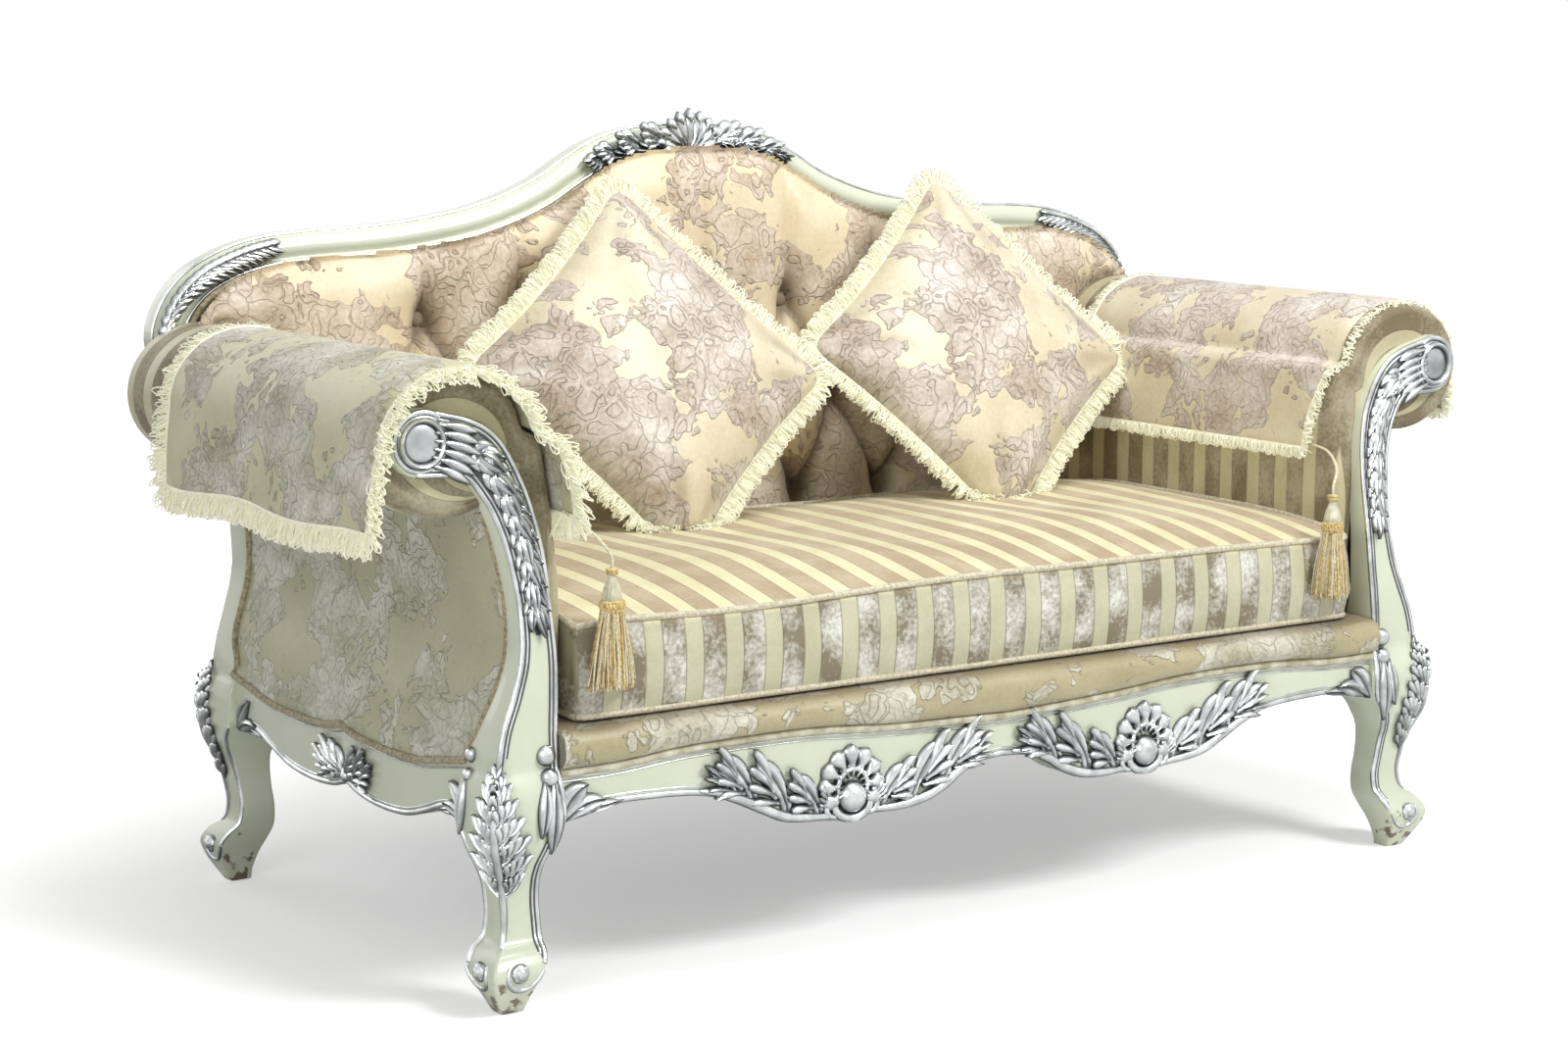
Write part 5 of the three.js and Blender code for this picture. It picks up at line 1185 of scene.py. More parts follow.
def facing_leaves():
    """Long flutes from the scroll, then ivy leaves in pairs on a ground painted dark as shade, down to a pointed tip.
    """
    carving = Carving()
    line = evened(FACING_CURVE[(FACING_CURVE[:, 1] > 446) & (FACING_CURVE[:, 1] < 712)], 4.0)
    along, right = sideways(line)
    count = len(line)

    def lie(i):
        """Where a station lies on the facing, its directions down, across and out, and the room beside it."""
        x, z, width = line[i]
        lean = (float(facing_front(z - 5)) - float(facing_front(z + 5))) / 10
        out = -Y * math.cos(lean) + Z * math.sin(lean)
        down = np.array([-along[i][0], 0, -along[i][1]])
        down = down - out * np.dot(down, out)
        down /= np.linalg.norm(down)
        across = np.array([right[i][0], 0, right[i][1]])
        return np.array([x, -float(facing_front(z)) - 0.5, z]), down, across, out, width / 2 - 6

    rows = []
    for i in range(4, count - 6, 2):
        base, down, across, out, spread = lie(i)
        half = spread * 0.8 * min(1.0, (i - 2) / 12)
        rows += [base + across * half * t + out * (0.9 if abs(t) < 1 else -1.5) for t in (-1, -0.9, 0, 0.9, 1)]
    # painted shade: the ground behind the leaves is marked nearly black
    carving.add(rows, [0.92] * len(rows), 5)
    base, down, across, out, spread = lie(count - 5)
    for t in np.linspace(-1, 1, 6):
        carving.leaf(base + across * spread * 0.72 * t, *leaning(down, across, 0.12 * t), out, 70 - 12 * abs(t),
                     spread * 0.42, 8, turn=0.45, blunt=1.3, foot=0.5, ridge=True, lift=2.0)
    for k, i in enumerate(np.linspace(count - 20, 15, 8).astype(int)):
        base, down, across, out, spread = lie(i)
        for side in (-1, 1):
            for lean, reach, height, ahead in ((0.95, 26, 6, 0), (0.5, 36, 8, 6)):
                carving.leaf(base + down * ahead, *leaning(down, across * side, lean), out, reach, spread * 0.95,
                             height, turn=-0.35, lift=2.5, blunt=0.62, foot=0.2)
        carving.leaf(base + down * 4 + out * 1.5, down, across, out, 46, spread * 0.9, 9, lift=3.0, blunt=0.62,
                     turn=0.25 * (-1) ** k)
    return carving.piece("facing_leaves_right")


def drop_ornament():
    """Ball, bulb and drooping leaf at the front block's inner edge, and again on its side."""
    carving = Carving()
    x, y = RAIL_END + 18, -float(facing_front(310)) - 0.5
    carving.ball((x, y, 318), -Y, 13.5, 12)
    carving.ball((x - 2, y - 4, 291), -Y, 12.5, 12)
    start = len(carving.points)
    carving.leaf((x - 5, y, 288), -Z, X, -Y, 92, 26, 8, 0.1, 1, 1.1)
    carving.leaf((x + 7, y, 288), -Z, X, -Y, 70, 22, 8, 0.25, 1, 1.0)
    carving.bend(lambda x, y, z: (x, y - max(leg_out(z), 0), z), start)
    x, y = POST_X, SIDE_FRONT - 16
    carving.ball((x, y, 316), X, 10, 9)
    carving.ball((x + 4, y, 292), X, 9, 9)
    start = len(carving.points)
    carving.leaf((x, y, 286), -Z, Y, X, 70, 22, 7, 0.2, 1)
    carving.bend(lambda x, y, z: (x + max(leg_out(z), 0), y, z), start)
    return carving.piece("drop_ornament_right")


CREST_FRONDS = [(44, -9, 90, 17, 32), (50, -15, 104, -11, 15), (84, -9, 132, 14, 29), (98, -14, 144, -12, 14),
                (124, -8, 168, 9, 24), (148, -6, 184, 1, 17)]


def crest_carving():
    """The fluted shell at the top of the back with acanthus trailing to each side."""
    carving = Carving()
    front = BACK_FRONT - 1
    carving.shell((0, front, 1010), 67, 144, 0.05)
    carving.inner_shell((0, front - 6, 1010), 43, 144, 22, 3, 15, blunt=1.3, lift=-3)
    line = top_rail_line()
    half = line[line[:, 0] >= 0]
    for side in (-1, 1):
        carving.ball((side * 40, front - 4, 1014), -Y, 10, 11)
        for near, low, far, high, width in CREST_FRONDS:
            base, tip = ((side * run, front, reading(half, run) + rise + 1)
                         for run, rise in ((near, low), (far, high)))
            carving.frond(base, tip, -Y, width, 12, side * (-0.9 if high > 0 else 0.7))
    return carving.piece("crest_carving")


def shoulder_carving():
    """Acanthus over the shoulder of the top rail, pointing inwards and up."""
    carving = Carving()
    line = top_rail_line()
    along, right = sideways(line)
    wanted = np.where((line[:, 0] > 690) & (line[:, 1] > 765))[0]
    for k, i in enumerate(wanted[1::2]):
        tangent = -np.array([along[i][0], 0, along[i][1]])
        across = np.array([right[i][0], 0, right[i][1]])
        base = np.array([line[i][0], BACK_FRONT + 1, line[i][1]]) - across * 15
        size = 48 * (0.6 + 0.5 * math.sin(math.pi * min(2 * k / len(wanted) + 0.15, 1)))
        for lean, scale in ((1.15, 0.8), (0.8, 1.0), (0.4, 0.8)):
            carving.leaf(base, *leaning(tangent, across, lean), -Y, size * scale, 14, 9, turn=-0.55, lift=2.0,
                         blunt=1.6, foot=0.5, ridge=True)
    return carving.piece("shoulder_carving_right")


# Rails

def front_rail():
    xs = np.linspace(-RAIL_END, RAIL_END, 261)
    back = -(POST_FRONT - RAIL_SETBACK - RAIL_THICKNESS)
    rings = []
    for x in xs:
        face, low = rail_face(x), apron_edge(x)
        rings.append([(x, face, low + 2), (x, face + 2, low), (x, back, low), (x, back, LEG_HEIGHT),
                      (x, face, LEG_HEIGHT), (x, face, LEG_HEIGHT * 0.5 + low * 0.5)])
    body = loft("front_rail", rings, lacquer, "frame", "frame_lacquer", smooth_angle=35)
    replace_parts(body, "front_rail")

    def line(depth, edge, rise):
        return [(x, rail_face(x) + depth, edge(x) + rise) for x in xs]

    silver_beads("front_rail_lip", [line(1.5, apron_edge, 4.5)], 4.6, 10)
    silver_beads("front_rail_lines", [line(0.3, apron_edge, 11.5), line(0.6, front_trim, -5),
                                      line(0.6, front_trim, -10)], 1.5)


def side_rails():
    ys = np.linspace(SIDE_FRONT, SIDE_REAR, 121)
    inner = SIDE_FACE - RAIL_THICKNESS + RAIL_SETBACK
    rings = []
    for y in ys:
        low = side_edge(y)
        rings.append([(SIDE_FACE, y, low + 2), (SIDE_FACE - 2, y, low), (inner, y, low), (inner, y, LEG_HEIGHT),
                      (SIDE_FACE, y, LEG_HEIGHT), (SIDE_FACE, y, (LEG_HEIGHT + low) / 2)])
    right = loft("side_rail_right", rings, lacquer, "frame", "frame_lacquer", smooth_angle=35)
    replace_pair(right, mirrored(right, "side_rail_left"), "side_rail")

    def line(inset, edge, rise):
        return [(SIDE_FACE - inset, y, edge(y) + rise) for y in ys]

    lip = silver_beads("side_rail_lip_right", [line(1.5, side_edge, 4)], 4.2, 10)
    lines = silver_beads("side_rail_lines_right", [line(0, side_edge, 10), line(0, side_trim, -8)], 1.4)
    mirrored(lip, "side_rail_lip_left")
    mirrored(lines, "side_rail_lines_left")


def top_rail():
    """The serpentine rail: a full round face between a silver outer edge and a silver inner edge."""
    line = top_rail_line()
    right = sideways(line)[1]
    section = smooth([(-25, 17), (-23, 20), (0, 20.6), (18, 20.2), (24, 19), (24.6, 16.4), (21.5, 14.6), (19.6, 13.4),
                      (20.6, 10), (22.6, 5), (22.4, -2), (19.5, -9), (14, -15), (7, -18.6), (5, -20.4), (2, -21),
                      (-12, -21), (-23, -20), (-25, -16)], 2)
    middle = BACK_FRONT + STILE_DEPTH / 2
    thinned = np.where(line[:, 1] < STILE_TOP + 3, 0.86, 1.0)
    rings = [[(x + rx * inward, middle - forward * k, z + rz * inward) for forward, inward in section]
             for (x, z), (rx, rz), k in zip(line, right, thinned)]
    body = loft("top_rail", rings, lacquer, "frame", "frame_lacquer", smooth_angle=60)
    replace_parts(body, "top_rail")
    edges = [[(x + rx * inward, middle - forward, z + rz * inward) for (x, z), (rx, rz) in zip(line, right)]
             for inward, forward in ((18.2, 23.5), (-19.6, 5.5))]
    silver_beads("top_rail_edges", edges, 2.6)


# Fixed upholstery

def tuft_places():
    rows = [(TUFT_LOW, 7), (TUFT_LOW + TUFT_Z, 6), (TUFT_LOW + 2 * TUFT_Z, 7)]
    return [((i - (count - 1) / 2) * TUFT_X, z) for z, count in rows for i in range(count)]


def distance_to_run(x, z, a, b):
    run = np.asarray(b, float) - np.asarray(a, float)
    share = np.clip(((x - a[0]) * run[0] + (z - a[1]) * run[1]) / run.dot(run), 0, 1)
    return np.hypot(x - a[0] - share * run[0], z - a[1] - share * run[1])


def tuft_sink(x, z):
    """How deep the cover lies under its highest level: padded diamonds between pleats and buttons."""
    crease = np.full(x.shape, FAR)
    button = np.full(x.shape, FAR)
    for bx, bz in tuft_places():
        button = np.minimum(button, np.hypot(x - bx, z - bz))
        if bz == TUFT_LOW + 2 * TUFT_Z:
            pleat = distance_to_run(x, z, (bx, bz), (bx, TOP_RAIL_HEIGHT + 50)) + (z - bz) * 0.05
            crease = np.minimum(crease, pleat)
        if bz == TUFT_LOW:
            crease = np.minimum(crease, distance_to_run(x, z, (bx, bz), (bx, 200)))
        else:
            for side in (-1, 1):
                end = (bx + side * TUFT_X / 2, bz - TUFT_Z)
                crease = np.minimum(crease, distance_to_run(x, z, (bx, bz), end))
    return 27 * np.exp(-np.maximum(crease, 0) / 13.0) + 36 * np.exp(-(button / 29.0) ** 1.2)


def back_face_outline():
    inner, roll = arm_line()
    line = top_rail_line()
    top = (line + sideways(line)[1] * 19)[line[:, 1] > ROLL_Z + ROLL_HALF_HEIGHT]
    arm = np.vstack([inner, roll[roll[:, 0] < ROLL_X]])
    return np.vstack([top, arm[::-1], arm * (-1, 1)])


def inside(outline, x, z):
    hit = np.zeros(x.shape, bool)
    for (x0, z0), (x1, z1) in zip(outline, np.roll(outline, -1, axis=0)):
        if z0 != z1:
            hit ^= ((z0 > z) != (z1 > z)) & (x < (x1 - x0) * (z - z0) / (z1 - z0) + x0)
    return hit


def back_face_depth(x, z, outline):
    edge = np.full(x.shape, FAR)
    for a, b in zip(outline, np.roll(outline, -1, axis=0)):
        if np.hypot(*(b - a)) > 0.1:
            edge = np.minimum(edge, distance_to_run(x, z, a, b))
    flat = BACK_SEAT_FACE + (BACK_TOP_FACE - BACK_SEAT_FACE) * (z - SEAT_BASE) / (TOP_RAIL_HEIGHT - SEAT_BASE)
    rim = np.clip(edge / BACK_RIM, 0, 1)
    rounding = (BACK_FRONT - 6 - BACK_TOP_FACE) * (1 - np.sqrt(1 - (1 - rim) ** 2))
    sink = tuft_sink(x, z) * (0.45 + 0.55 * eased(edge / 70))
    return np.minimum(flat + rounding + sink - 5, BACK_REAR - 2)


def back_upholstery():
    outline = back_face_outline()
    x, z = np.meshgrid(np.arange(-822, 822.1, 4.5), np.arange(SEAT_BASE + 1, TOP_RAIL_HEIGHT, 4.5))
    pad = inside(outline, x, z)
    for _ in range(2):
        wider = pad.copy()
        wider[1:] |= pad[:-1]
        wider[:-1] |= pad[1:]
        wider[:, 1:] |= pad[:, :-1]
        wider[:, :-1] |= pad[:, 1:]
        pad = wider
    number = -np.ones(x.shape, int)
    number[pad] = np.arange(pad.sum())
    points = np.column_stack([x[pad], back_face_depth(x, z, outline)[pad], z[pad]])
    rows, columns = np.where(pad[:-1, :-1] & pad[1:, :-1] & pad[:-1, 1:] & pad[1:, 1:])
    faces = np.column_stack([number[rows, columns], number[rows, columns + 1], number[rows + 1, columns + 1],
                             number[rows + 1, columns]])
    # painted shade: the tuft pits and pleats are darkened by how deep they sink
    hollow_shade = np.clip((tuft_sink(points[:, 0], points[:, 2]) - 12) / 26, 0, 1) ** 1.2
    cover = piece("back_upholstery", points, faces, back_damask, "frame", "damask", smooth_angle=180,
                  uv=points[:, [0, 2]], close=False, recess=hollow_shade)
    places = np.array(tuft_places())
    depth = back_face_depth(places[:, 0], places[:, 1], outline) - 3
    grown("tuft_buttons", BUTTONS, np.column_stack([places[:, 0], depth, places[:, 1]]), [],
          {"Radius": 11 * MM, "Height": 0.5, "Finish": button_cloth}, "frame", "damask")
    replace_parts(cover, "back_upholstery")
    line = top_rail_line()
    gimp = [(x + rx * 22.5, BACK_FRONT - 5.5, z + rz * 22.5) for (x, z), (rx, rz) in zip(line, sideways(line)[1])
            if z > ROLL_Z + ROLL_HALF_HEIGHT - 30]
    beads("back_gimp", [gimp], 4.6, gimp_thread, "frame", "damask")


def arm_pads():
    """The arm's inside and roll, with its front rounded over towards the facing."""
    inner, roll = arm_line()
    line = evened(np.vstack([inner[:-1], roll]), 9.0)
    outward = -sideways(line)[1]
    length, rounding = 716.0, 22.0
    depths = np.concatenate([[0, 1, 3, 6, 10, 15, rounding], np.linspace(34, length, 44)])
    rows = []
    for depth in depths:
        sink = 15 * (1 - math.sqrt(max(1 - (1 - min(depth / rounding, 1)) ** 2, 0)))
        for (x, z), (nx, nz) in zip(line, outward):
            front = -float(facing_back(min(z, 745))) - 13 * eased((z - 420) / 120)
            y = front + depth * (BACK_FRONT - 1 - front) / length
            puff = 2.0 * math.sin(math.pi * min(max((z - SEAT_BASE) / (ROLL_Z - SEAT_BASE), 0), 1))
            rows.append((x - nx * sink + nx * min(puff, 1.5), y, z - nz * sink))
    points = np.asarray(rows)
    count = len(line)
    faces = grid_faces(len(depths), count)
    uv = points[:, [1, 2]]
    shares = (1, 0.9, 0.8, 0.65, 0.5, 0.2)
    for ring, x, z in ((points[:count], 735, 640), (points[-count:], 738, 650)):
        middle = np.array((x, ring[:, 1].mean(), z))
        fill = np.vstack([ring * share + middle * (1 - share) for share in shares])
        fill[count:, 1] += 2.0
        ring = np.tile(ring, (len(shares), 1))
        inward = np.linalg.norm(fill - ring, axis=1)
        start = len(points)
        points = np.vstack([points, fill])
        uv = np.vstack([uv, np.column_stack([ring[:, 1] + inward, fill[:, 2]])])
        faces += grid_faces(len(shares), count, start=start)
        faces.append(tuple(range(start + (len(shares) - 1) * count, start + len(shares) * count)))
    right = piece("arm_pad_right", points, faces, arm_stripes, "frame", "striped_satin", smooth_angle=70, uv=uv)
    left = mirrored(right, "arm_pad_left")
    replace_pair(right, left, "arm_pad")


def outer_panels():
    """The outside of the arm, slightly full, with gimp round its edge."""
    columns, rows, foot, top = 60, 44, 312, 613
    points = []
    for v in np.arange(rows + 1) / rows:
        for u in np.arange(columns + 1) / columns:
            low = side_trim(SIDE_FRONT + (SIDE_REAR - SIDE_FRONT) * u) + 2
            z = low + (top - low) * v
            front = -float(facing_back(max(z, LEG_HEIGHT))) + 1
            rear = stile_front(max(z, LEG_HEIGHT)) - 1
            bulge = 9 * (1 - (2 * u - 1) ** 6) * (1 - (2 * v - 1) ** 6)
            base = facing_outer(max(z, foot)) - PANEL_INSET
            if z < foot:
                base = max(base, SIDE_FACE + 5.5)
            spread = 10 * u * max((z - LEG_HEIGHT) / 300, 0)
            points.append((base + bulge + spread, front + (rear - front) * u, z))
    points = np.array(points)
    panel = piece("outer_panel_right", points, grid_faces(rows + 1, columns + 1), panel_damask, "frame", "damask",
                  smooth_angle=180, uv=points[:, [1, 2]], close=False)
    grid = points.reshape(rows + 1, columns + 1, 3)
    edge = evened(np.vstack([grid[::-1, 0], grid[0, 1:], grid[1:, -1]]) + (1.5, 0, 0), 5)
    gimp = beads("outer_panel_gimp_right", [edge], 5.4, gimp_thread, "frame", "damask")
    left = mirrored(panel, "outer_panel_left")
    mirrored(gimp, "outer_panel_gimp_left")
    replace_pair(panel, left, "outer_panel")


def seat_border():
    """The rolled damask border over the front rail, with the deck behind it and gimp below."""
    xs = np.linspace(-RAIL_END + 1, RAIL_END - 1, 200)
    rings, uv = [], []
    for x in xs:
        face, low, high = rail_face(x) - 1, front_trim(x), DECK_TOP - 1
        ring = [(x, face, low + 7)]
        for turn in math.pi * np.linspace(0, 1, 12):
            bulge = 19 * math.sin(turn) ** 0.9
            sag = 1.2 * math.sin(x / 37.0) * math.sin(turn)
            ring.append((x, face - 2 - bulge - sag, low + 8 + (high - low - 11) * (0.5 - 0.5 * math.cos(turn))))
        ring += [(x, face + 26, high + 0.4), (x, CUSHION_REAR + 8, high + 0.6),
                 (x, CUSHION_REAR + 8, SEAT_BASE + 1), (x, face + 12, SEAT_BASE + 1)]
        rings += ring
        uv += [(x, 100 + run) for run in np.concatenate([[0], np.cumsum(steps_along(ring))])]
    count = len(ring)
    # painted shade: the roll's top under the cushion, its foot and the deck are darkened
    hollow_shade = [0.7, 0.5, 0.25, 0.05, 0, 0, 0, 0, 0.05, 0.15, 0.3, 0.5, 0.7, 0.9, 0.9, 0.9, 0.9]
    deck = piece("seat_deck", rings, skin_faces(len(xs), count, ring=False), border_damask, "frame", "damask",
                 smooth_angle=60, uv=uv, recess=hollow_shade * len(xs))
    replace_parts(deck, "seat_deck")
    gimp = [(x, rail_face(x) - 4.5, front_trim(x) + 3.0) for x in xs]
    beads("seat_border_gimp", [gimp], 5.8, border_gimp, "frame", "damask")


# Cushions

def cushion_top(u, v):
    """Height of the cushion's top: full in the middle, rolling down to its seams."""
    front = np.clip((0.0 - v) / 1.0, 0, 1) ** 3.2
    rear = np.clip((v - 0.55) / 0.45, 0, 1) ** 2
    ends = np.clip((np.abs(u) - 0.84) / 0.16, 0, 1) ** 2
    wave = 3.5 * np.sin(u * 4.6 + 0.9) * front + 2.0 * np.sin(u * 7.0 + v * 3)
    return CUSHION_CORNER + 32 - 25 * front - 14 * rear - 9 * ends * (1 - 0.4 * front) + wave * (1 - ends)


def cushion_plan(u, v):
    """Plan of the cushion for shares from -1 to 1, with round corners and a front that fills out."""
    width, depth = CUSHION_HALF - 1.5, (CUSHION_FRONT + CUSHION_REAR) / 2
    rounding = 26.0
    x, y = u * width, v * depth
    cx, cy = np.abs(x) - (width - rounding), np.abs(y) - (depth - rounding)
    corner = (cx > 0) & (cy > 0)
    pull = np.where(corner, np.maximum(cx, cy) / np.maximum(np.hypot(cx, cy), 1e-6), 1)
    x = np.where(corner, np.sign(x) * (width - rounding + cx * pull), x)
    y = np.where(corner, np.sign(y) * (depth - rounding + cy * pull), y) + CUSHION_MIDDLE
    ear = eased((-y - CUSHION_FRONT + 30) / 30)
    return x + np.sign(u) * 8 * ear * eased((np.abs(u) - 0.8) / 0.2), y


def rim_of(columns, rows):
    """Numbers of a grid's points round its edge, from its first point along the first row."""
    wide = columns + 1
    return [*range(wide), *range(wide + columns, wide * rows + columns + 1, wide),
            *range(wide * rows + columns - 1, wide * rows - 1, -1), *range(wide * (rows - 1), 0, -wide)]


def seat_cushion():
    columns, rows, levels = 108, 54, 11
    u, v = np.meshgrid(np.linspace(-1, 1, columns + 1), np.linspace(-1, 1, rows + 1))
    x, y = cushion_plan(u, v)
    top = np.column_stack([x.ravel(), y.ravel(), cushion_top(u, v).ravel()])
    bottom = top * (1, 1, 0) + (0, 0, DECK_TOP + 1.0)
    count = u.size
    faces = grid_faces(rows + 1, columns + 1)
    faces += [f[::-1] for f in grid_faces(rows + 1, columns + 1, start=count)]
    rim = rim_of(columns, rows)
    edge = top[rim]
    ru, rv = u.ravel()[rim], v.ravel()[rim]
    front = np.where(rv == -1, 1.0, -0.6)
    sides = []
    for w in np.arange(1, levels) / levels:
        swell = 8.0 * math.sin(math.pi * w) ** 0.8
        sides.append(np.column_stack([edge[:, 0] + ru * (np.abs(ru) == 1) * swell * front * 0.5,
                                      edge[:, 1] + rv * (np.abs(rv) == 1) * swell * front,
                                      edge[:, 2] + (DECK_TOP + 1 - edge[:, 2]) * w]))
    start = 2 * count
    loops = [rim] + [range(start + k * len(rim), start + (k + 1) * len(rim)) for k in range(levels - 1)]
    loops.append([count + i for i in rim])
    for upper, lower in zip(loops, loops[1:]):
        for i in range(len(rim)):
            j = (i + 1) % len(rim)
            faces.append((upper[j], upper[i], lower[i], lower[j]))
    points = np.vstack([top, bottom] + sides)
    # painted light: the top takes the lit stripe tones, the sides the face tones
    lit_top = [1.0] * count + [0.0] * (len(points) - count)
    cushion = piece("seat_cushion", points, faces, cushion_stripes, "seat_cushion", "striped_satin", smooth_angle=70,
                    recess=lit_top)
    inflate(cushion, rim + [count + i for i in range(count)], cap=5.0)
    wrinkle(cushion, 1.6)
    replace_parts(cushion, "seat_cushion")
    loop = evened(np.vstack([edge, edge[:1]]), 6)
    out = unit(loop[:, :2] - (0, CUSHION_MIDDLE))
    upper = loop + np.column_stack([out * (1.0, 1.5), np.full(len(out), 0.5)])
    lower = upper * (1, 1, 0) + (0, 0, DECK_TOP + 5)
    beads("cushion_piping", [upper, lower], 4.3, piping_thread, "seat_cushion", "striped_satin")


def read_points(mesh, label="co"):
    values = np.empty(len(mesh.vertices) * 3)
    mesh.vertices.foreach_get(label, values)
    return values.reshape(-1, 3)


def inflate(obj, pinned, cap):
    """Swells a padded piece with a short cloth run, and caps how far any point moves in millimetres."""
    rest = read_points(obj.data)
    obj.vertex_groups.new(name="held").add(pinned, 1.0, "REPLACE")
    cloth = obj.modifiers.new("cloth", "CLOTH")
    settings = cloth.settings
    settings.use_pressure = True
    settings.uniform_pressure_force = 3.0
    settings.effector_weights.gravity = 0
    settings.vertex_group_mass = "held"
    settings.quality = 4
    settings.tension_stiffness = settings.compression_stiffness = 12
    settings.bending_stiffness = 0.6
    cloth.collision_settings.use_collision = False
    for number in range(1, 21):
        bpy.context.scene.frame_set(number)
    shift = read_points(obj.evaluated_get(bpy.context.evaluated_depsgraph_get()).data) - rest
    obj.modifiers.remove(cloth)
    bpy.context.scene.frame_set(1)
    size = np.linalg.norm(shift, axis=1)
    limit = cap * MM
    shift *= (np.tanh(size / limit) * limit / np.maximum(size, 1e-9))[:, None]
    obj.data.vertices.foreach_set("co", (rest + shift).ravel())
    obj.data.update()
    obj.vertex_groups.clear()


def wrinkle(obj, depth):
    """Slow hollows and swells, as on a cushion that has been sat on."""
    points, normals = read_points(obj.data), read_points(obj.data, "normal")
    x, y, z = (points / MM).T
    wave = np.sin(x / 83 + 1.3) * np.cos(y / 61) + 0.6 * np.sin(x / 37 + z / 29) * np.sin(y / 47)
    points += normals * (wave * depth * 0.5 * MM)[:, None]
    obj.data.vertices.foreach_set("co", points.ravel())
    obj.data.update()


def pillow_turn(side):
    """The pillow's spin about its own middle, then its lean towards the back."""
    turn, lean = math.pi / 4 + math.radians(PILLOWS[side][2]), -math.radians(PILLOW_LEAN)
    spin = np.array([[math.cos(turn), 0, math.sin(turn)], [0, 1, 0], [-math.sin(turn), 0, math.cos(turn)]])
    tip = np.array([[1, 0, 0], [0, math.cos(lean), -math.sin(lean)], [0, math.sin(lean), math.cos(lean)]])
    return tip @ spin


def pillow_form(count):
    """Across, up, thickness and painted shade over a pillow's face: full in the middle, drawn in at its sides; the
    shade darkens the gathers at the corners and the thin edges.
    """
    values = np.linspace(-1, 1, count)
    u, v = np.meshgrid(values, values)
    half = PILLOW_HALF + 17
    fill = np.maximum((1 - u * u) * (1 - v * v), 0) ** 0.52
    x = u * (half - 15 * (1 - v * v))
    z = v * (half - 15 * (1 - u * u))
    crease = np.zeros(u.shape)
    for cu, cv in ((-1, -1), (-1, 1), (1, -1), (1, 1)):
        start, soft = (0.78, 0.05) if (cu, cv) == PILLOW_FOOT else (0.9, 0.06)
        reach = np.maximum((u * cu + v * cv) / 2 - start, 0)
        pull = half * (reach - soft * np.tanh(reach / soft))
        x = x - cu * pull
        z = z - cv * pull
        far = np.hypot(u - cu, v - cv)
        turn = np.arctan2(v - cv, u - cu)
        crease += 5.5 * np.cos(9 * turn + cu + 2 * cv) * np.exp(-((far - 0.42) / 0.26) ** 2)
    crease += 1.6 * np.sin(u * 9 + 2 * v) * np.cos(v * 7 - u * 2) * (1 - np.abs(u * v))
    thick = 2.0 + 75 * fill + crease * np.clip(fill * 1.6, 0, 1)
    # painted shade: darker in the gathers and towards the thin edges
    gather_shade = np.clip(-crease / 7.0, 0, 1) * 0.5 + 0.3 * np.exp(-fill * 5)
    return x.ravel(), z.ravel(), thick.ravel(), gather_shade.ravel()


def pillow(side):
    name, size = f"pillow_{side}", 64
    x, z, thick, gather_shade = pillow_form(size + 1)
    front, back = np.column_stack([x, -thick, z]), np.column_stack([x, thick, z])
    count = len(x)
    faces = grid_faces(size + 1, size + 1) + [f[::-1] for f in grid_faces(size + 1, size + 1, start=count)]
    rim = rim_of(size, size)
    for a, b in zip(rim, rim[1:] + rim[:1]):
        faces.append((a, b, b + count, a + count))
    turn = pillow_turn(side)
    world = np.vstack([front, back]) @ turn.T + (*PILLOWS[side][:2], 0)
    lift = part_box(name)[0][2] / MM - 3 - world[:, 2].min()
    obj = piece(name, world + (0, 0, lift), faces, pillow_damask[side], name, "damask", smooth_angle=80,
                uv=np.vstack([front[:, [0, 2]], back[:, [0, 2]] + 300]), recess=np.tile(gather_shade, 2))
    inflate(obj, rim + [count + i for i in rim], cap=9.0)
    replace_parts(obj, name)
    edge = np.column_stack([x[rim], np.zeros(len(rim)), z[rim]])
    edge = evened(np.vstack([edge, edge[:1]]), 5)
    width, height = np.abs(edge[:, 0]), np.abs(edge[:, 2])
    out = np.sign(edge) * np.maximum(np.column_stack([width - height * 0.8, 0 * width, height - width * 0.8]), 0)
    seam = edge @ turn.T + (*PILLOWS[side][:2], lift)
    out = unit(out @ turn.T)
    seat = cushion_top(np.clip(seam[:, 0] / CUSHION_HALF, -1, 1), np.clip((seam[:, 1] + 80) / 320, -1, 1))
    near = np.clip((seat + 26 - seam[:, 2]) / 26, 0, 1)
    out[:, 2] = out[:, 2] * (1 - near) + 0.15 * near
    out[:, 1] -= 0.9 * near
    fringe(f"pillow_fringe_{side}", seam, out, name, length=28, width=9, spacing=1.0, thread=1.0, spread=0.42)


# Covers and tassels

COVER_SIZES = ("front", "inner_front", "outer_front", "rear", "inner", "outer", "front_drop", "folds", "loops")
COVERS = {"left": dict(zip(COVER_SIZES, (376.0, 398.0, 380.0, 204.0, 606.0, 600.0, 14.0, 6.0, 32.0))),
          "right": dict(zip(COVER_SIZES, (330.0, 300.0, 312.0, 236.0, 588.0, 624.0, 10.0, 5.0, 17.0)))}


def cover_profile(inner_z, outer_z):
    """The line of the cloth over the roll, from its inner hem up, over and down outside."""
    inner, roll = arm_line()
    edge = ROLL_X + ROLL_HALF_WIDTH
    return evened(np.vstack([(np.interp(inner_z, inner[:, 1], inner[:, 0]), inner_z), inner[inner[:, 1] > inner_z],
                             roll[roll[:, 1] > ROLL_Z - 4], (edge + 4, (ROLL_Z + outer_z) / 2), (edge + 6, outer_z)]),
                  8.0)


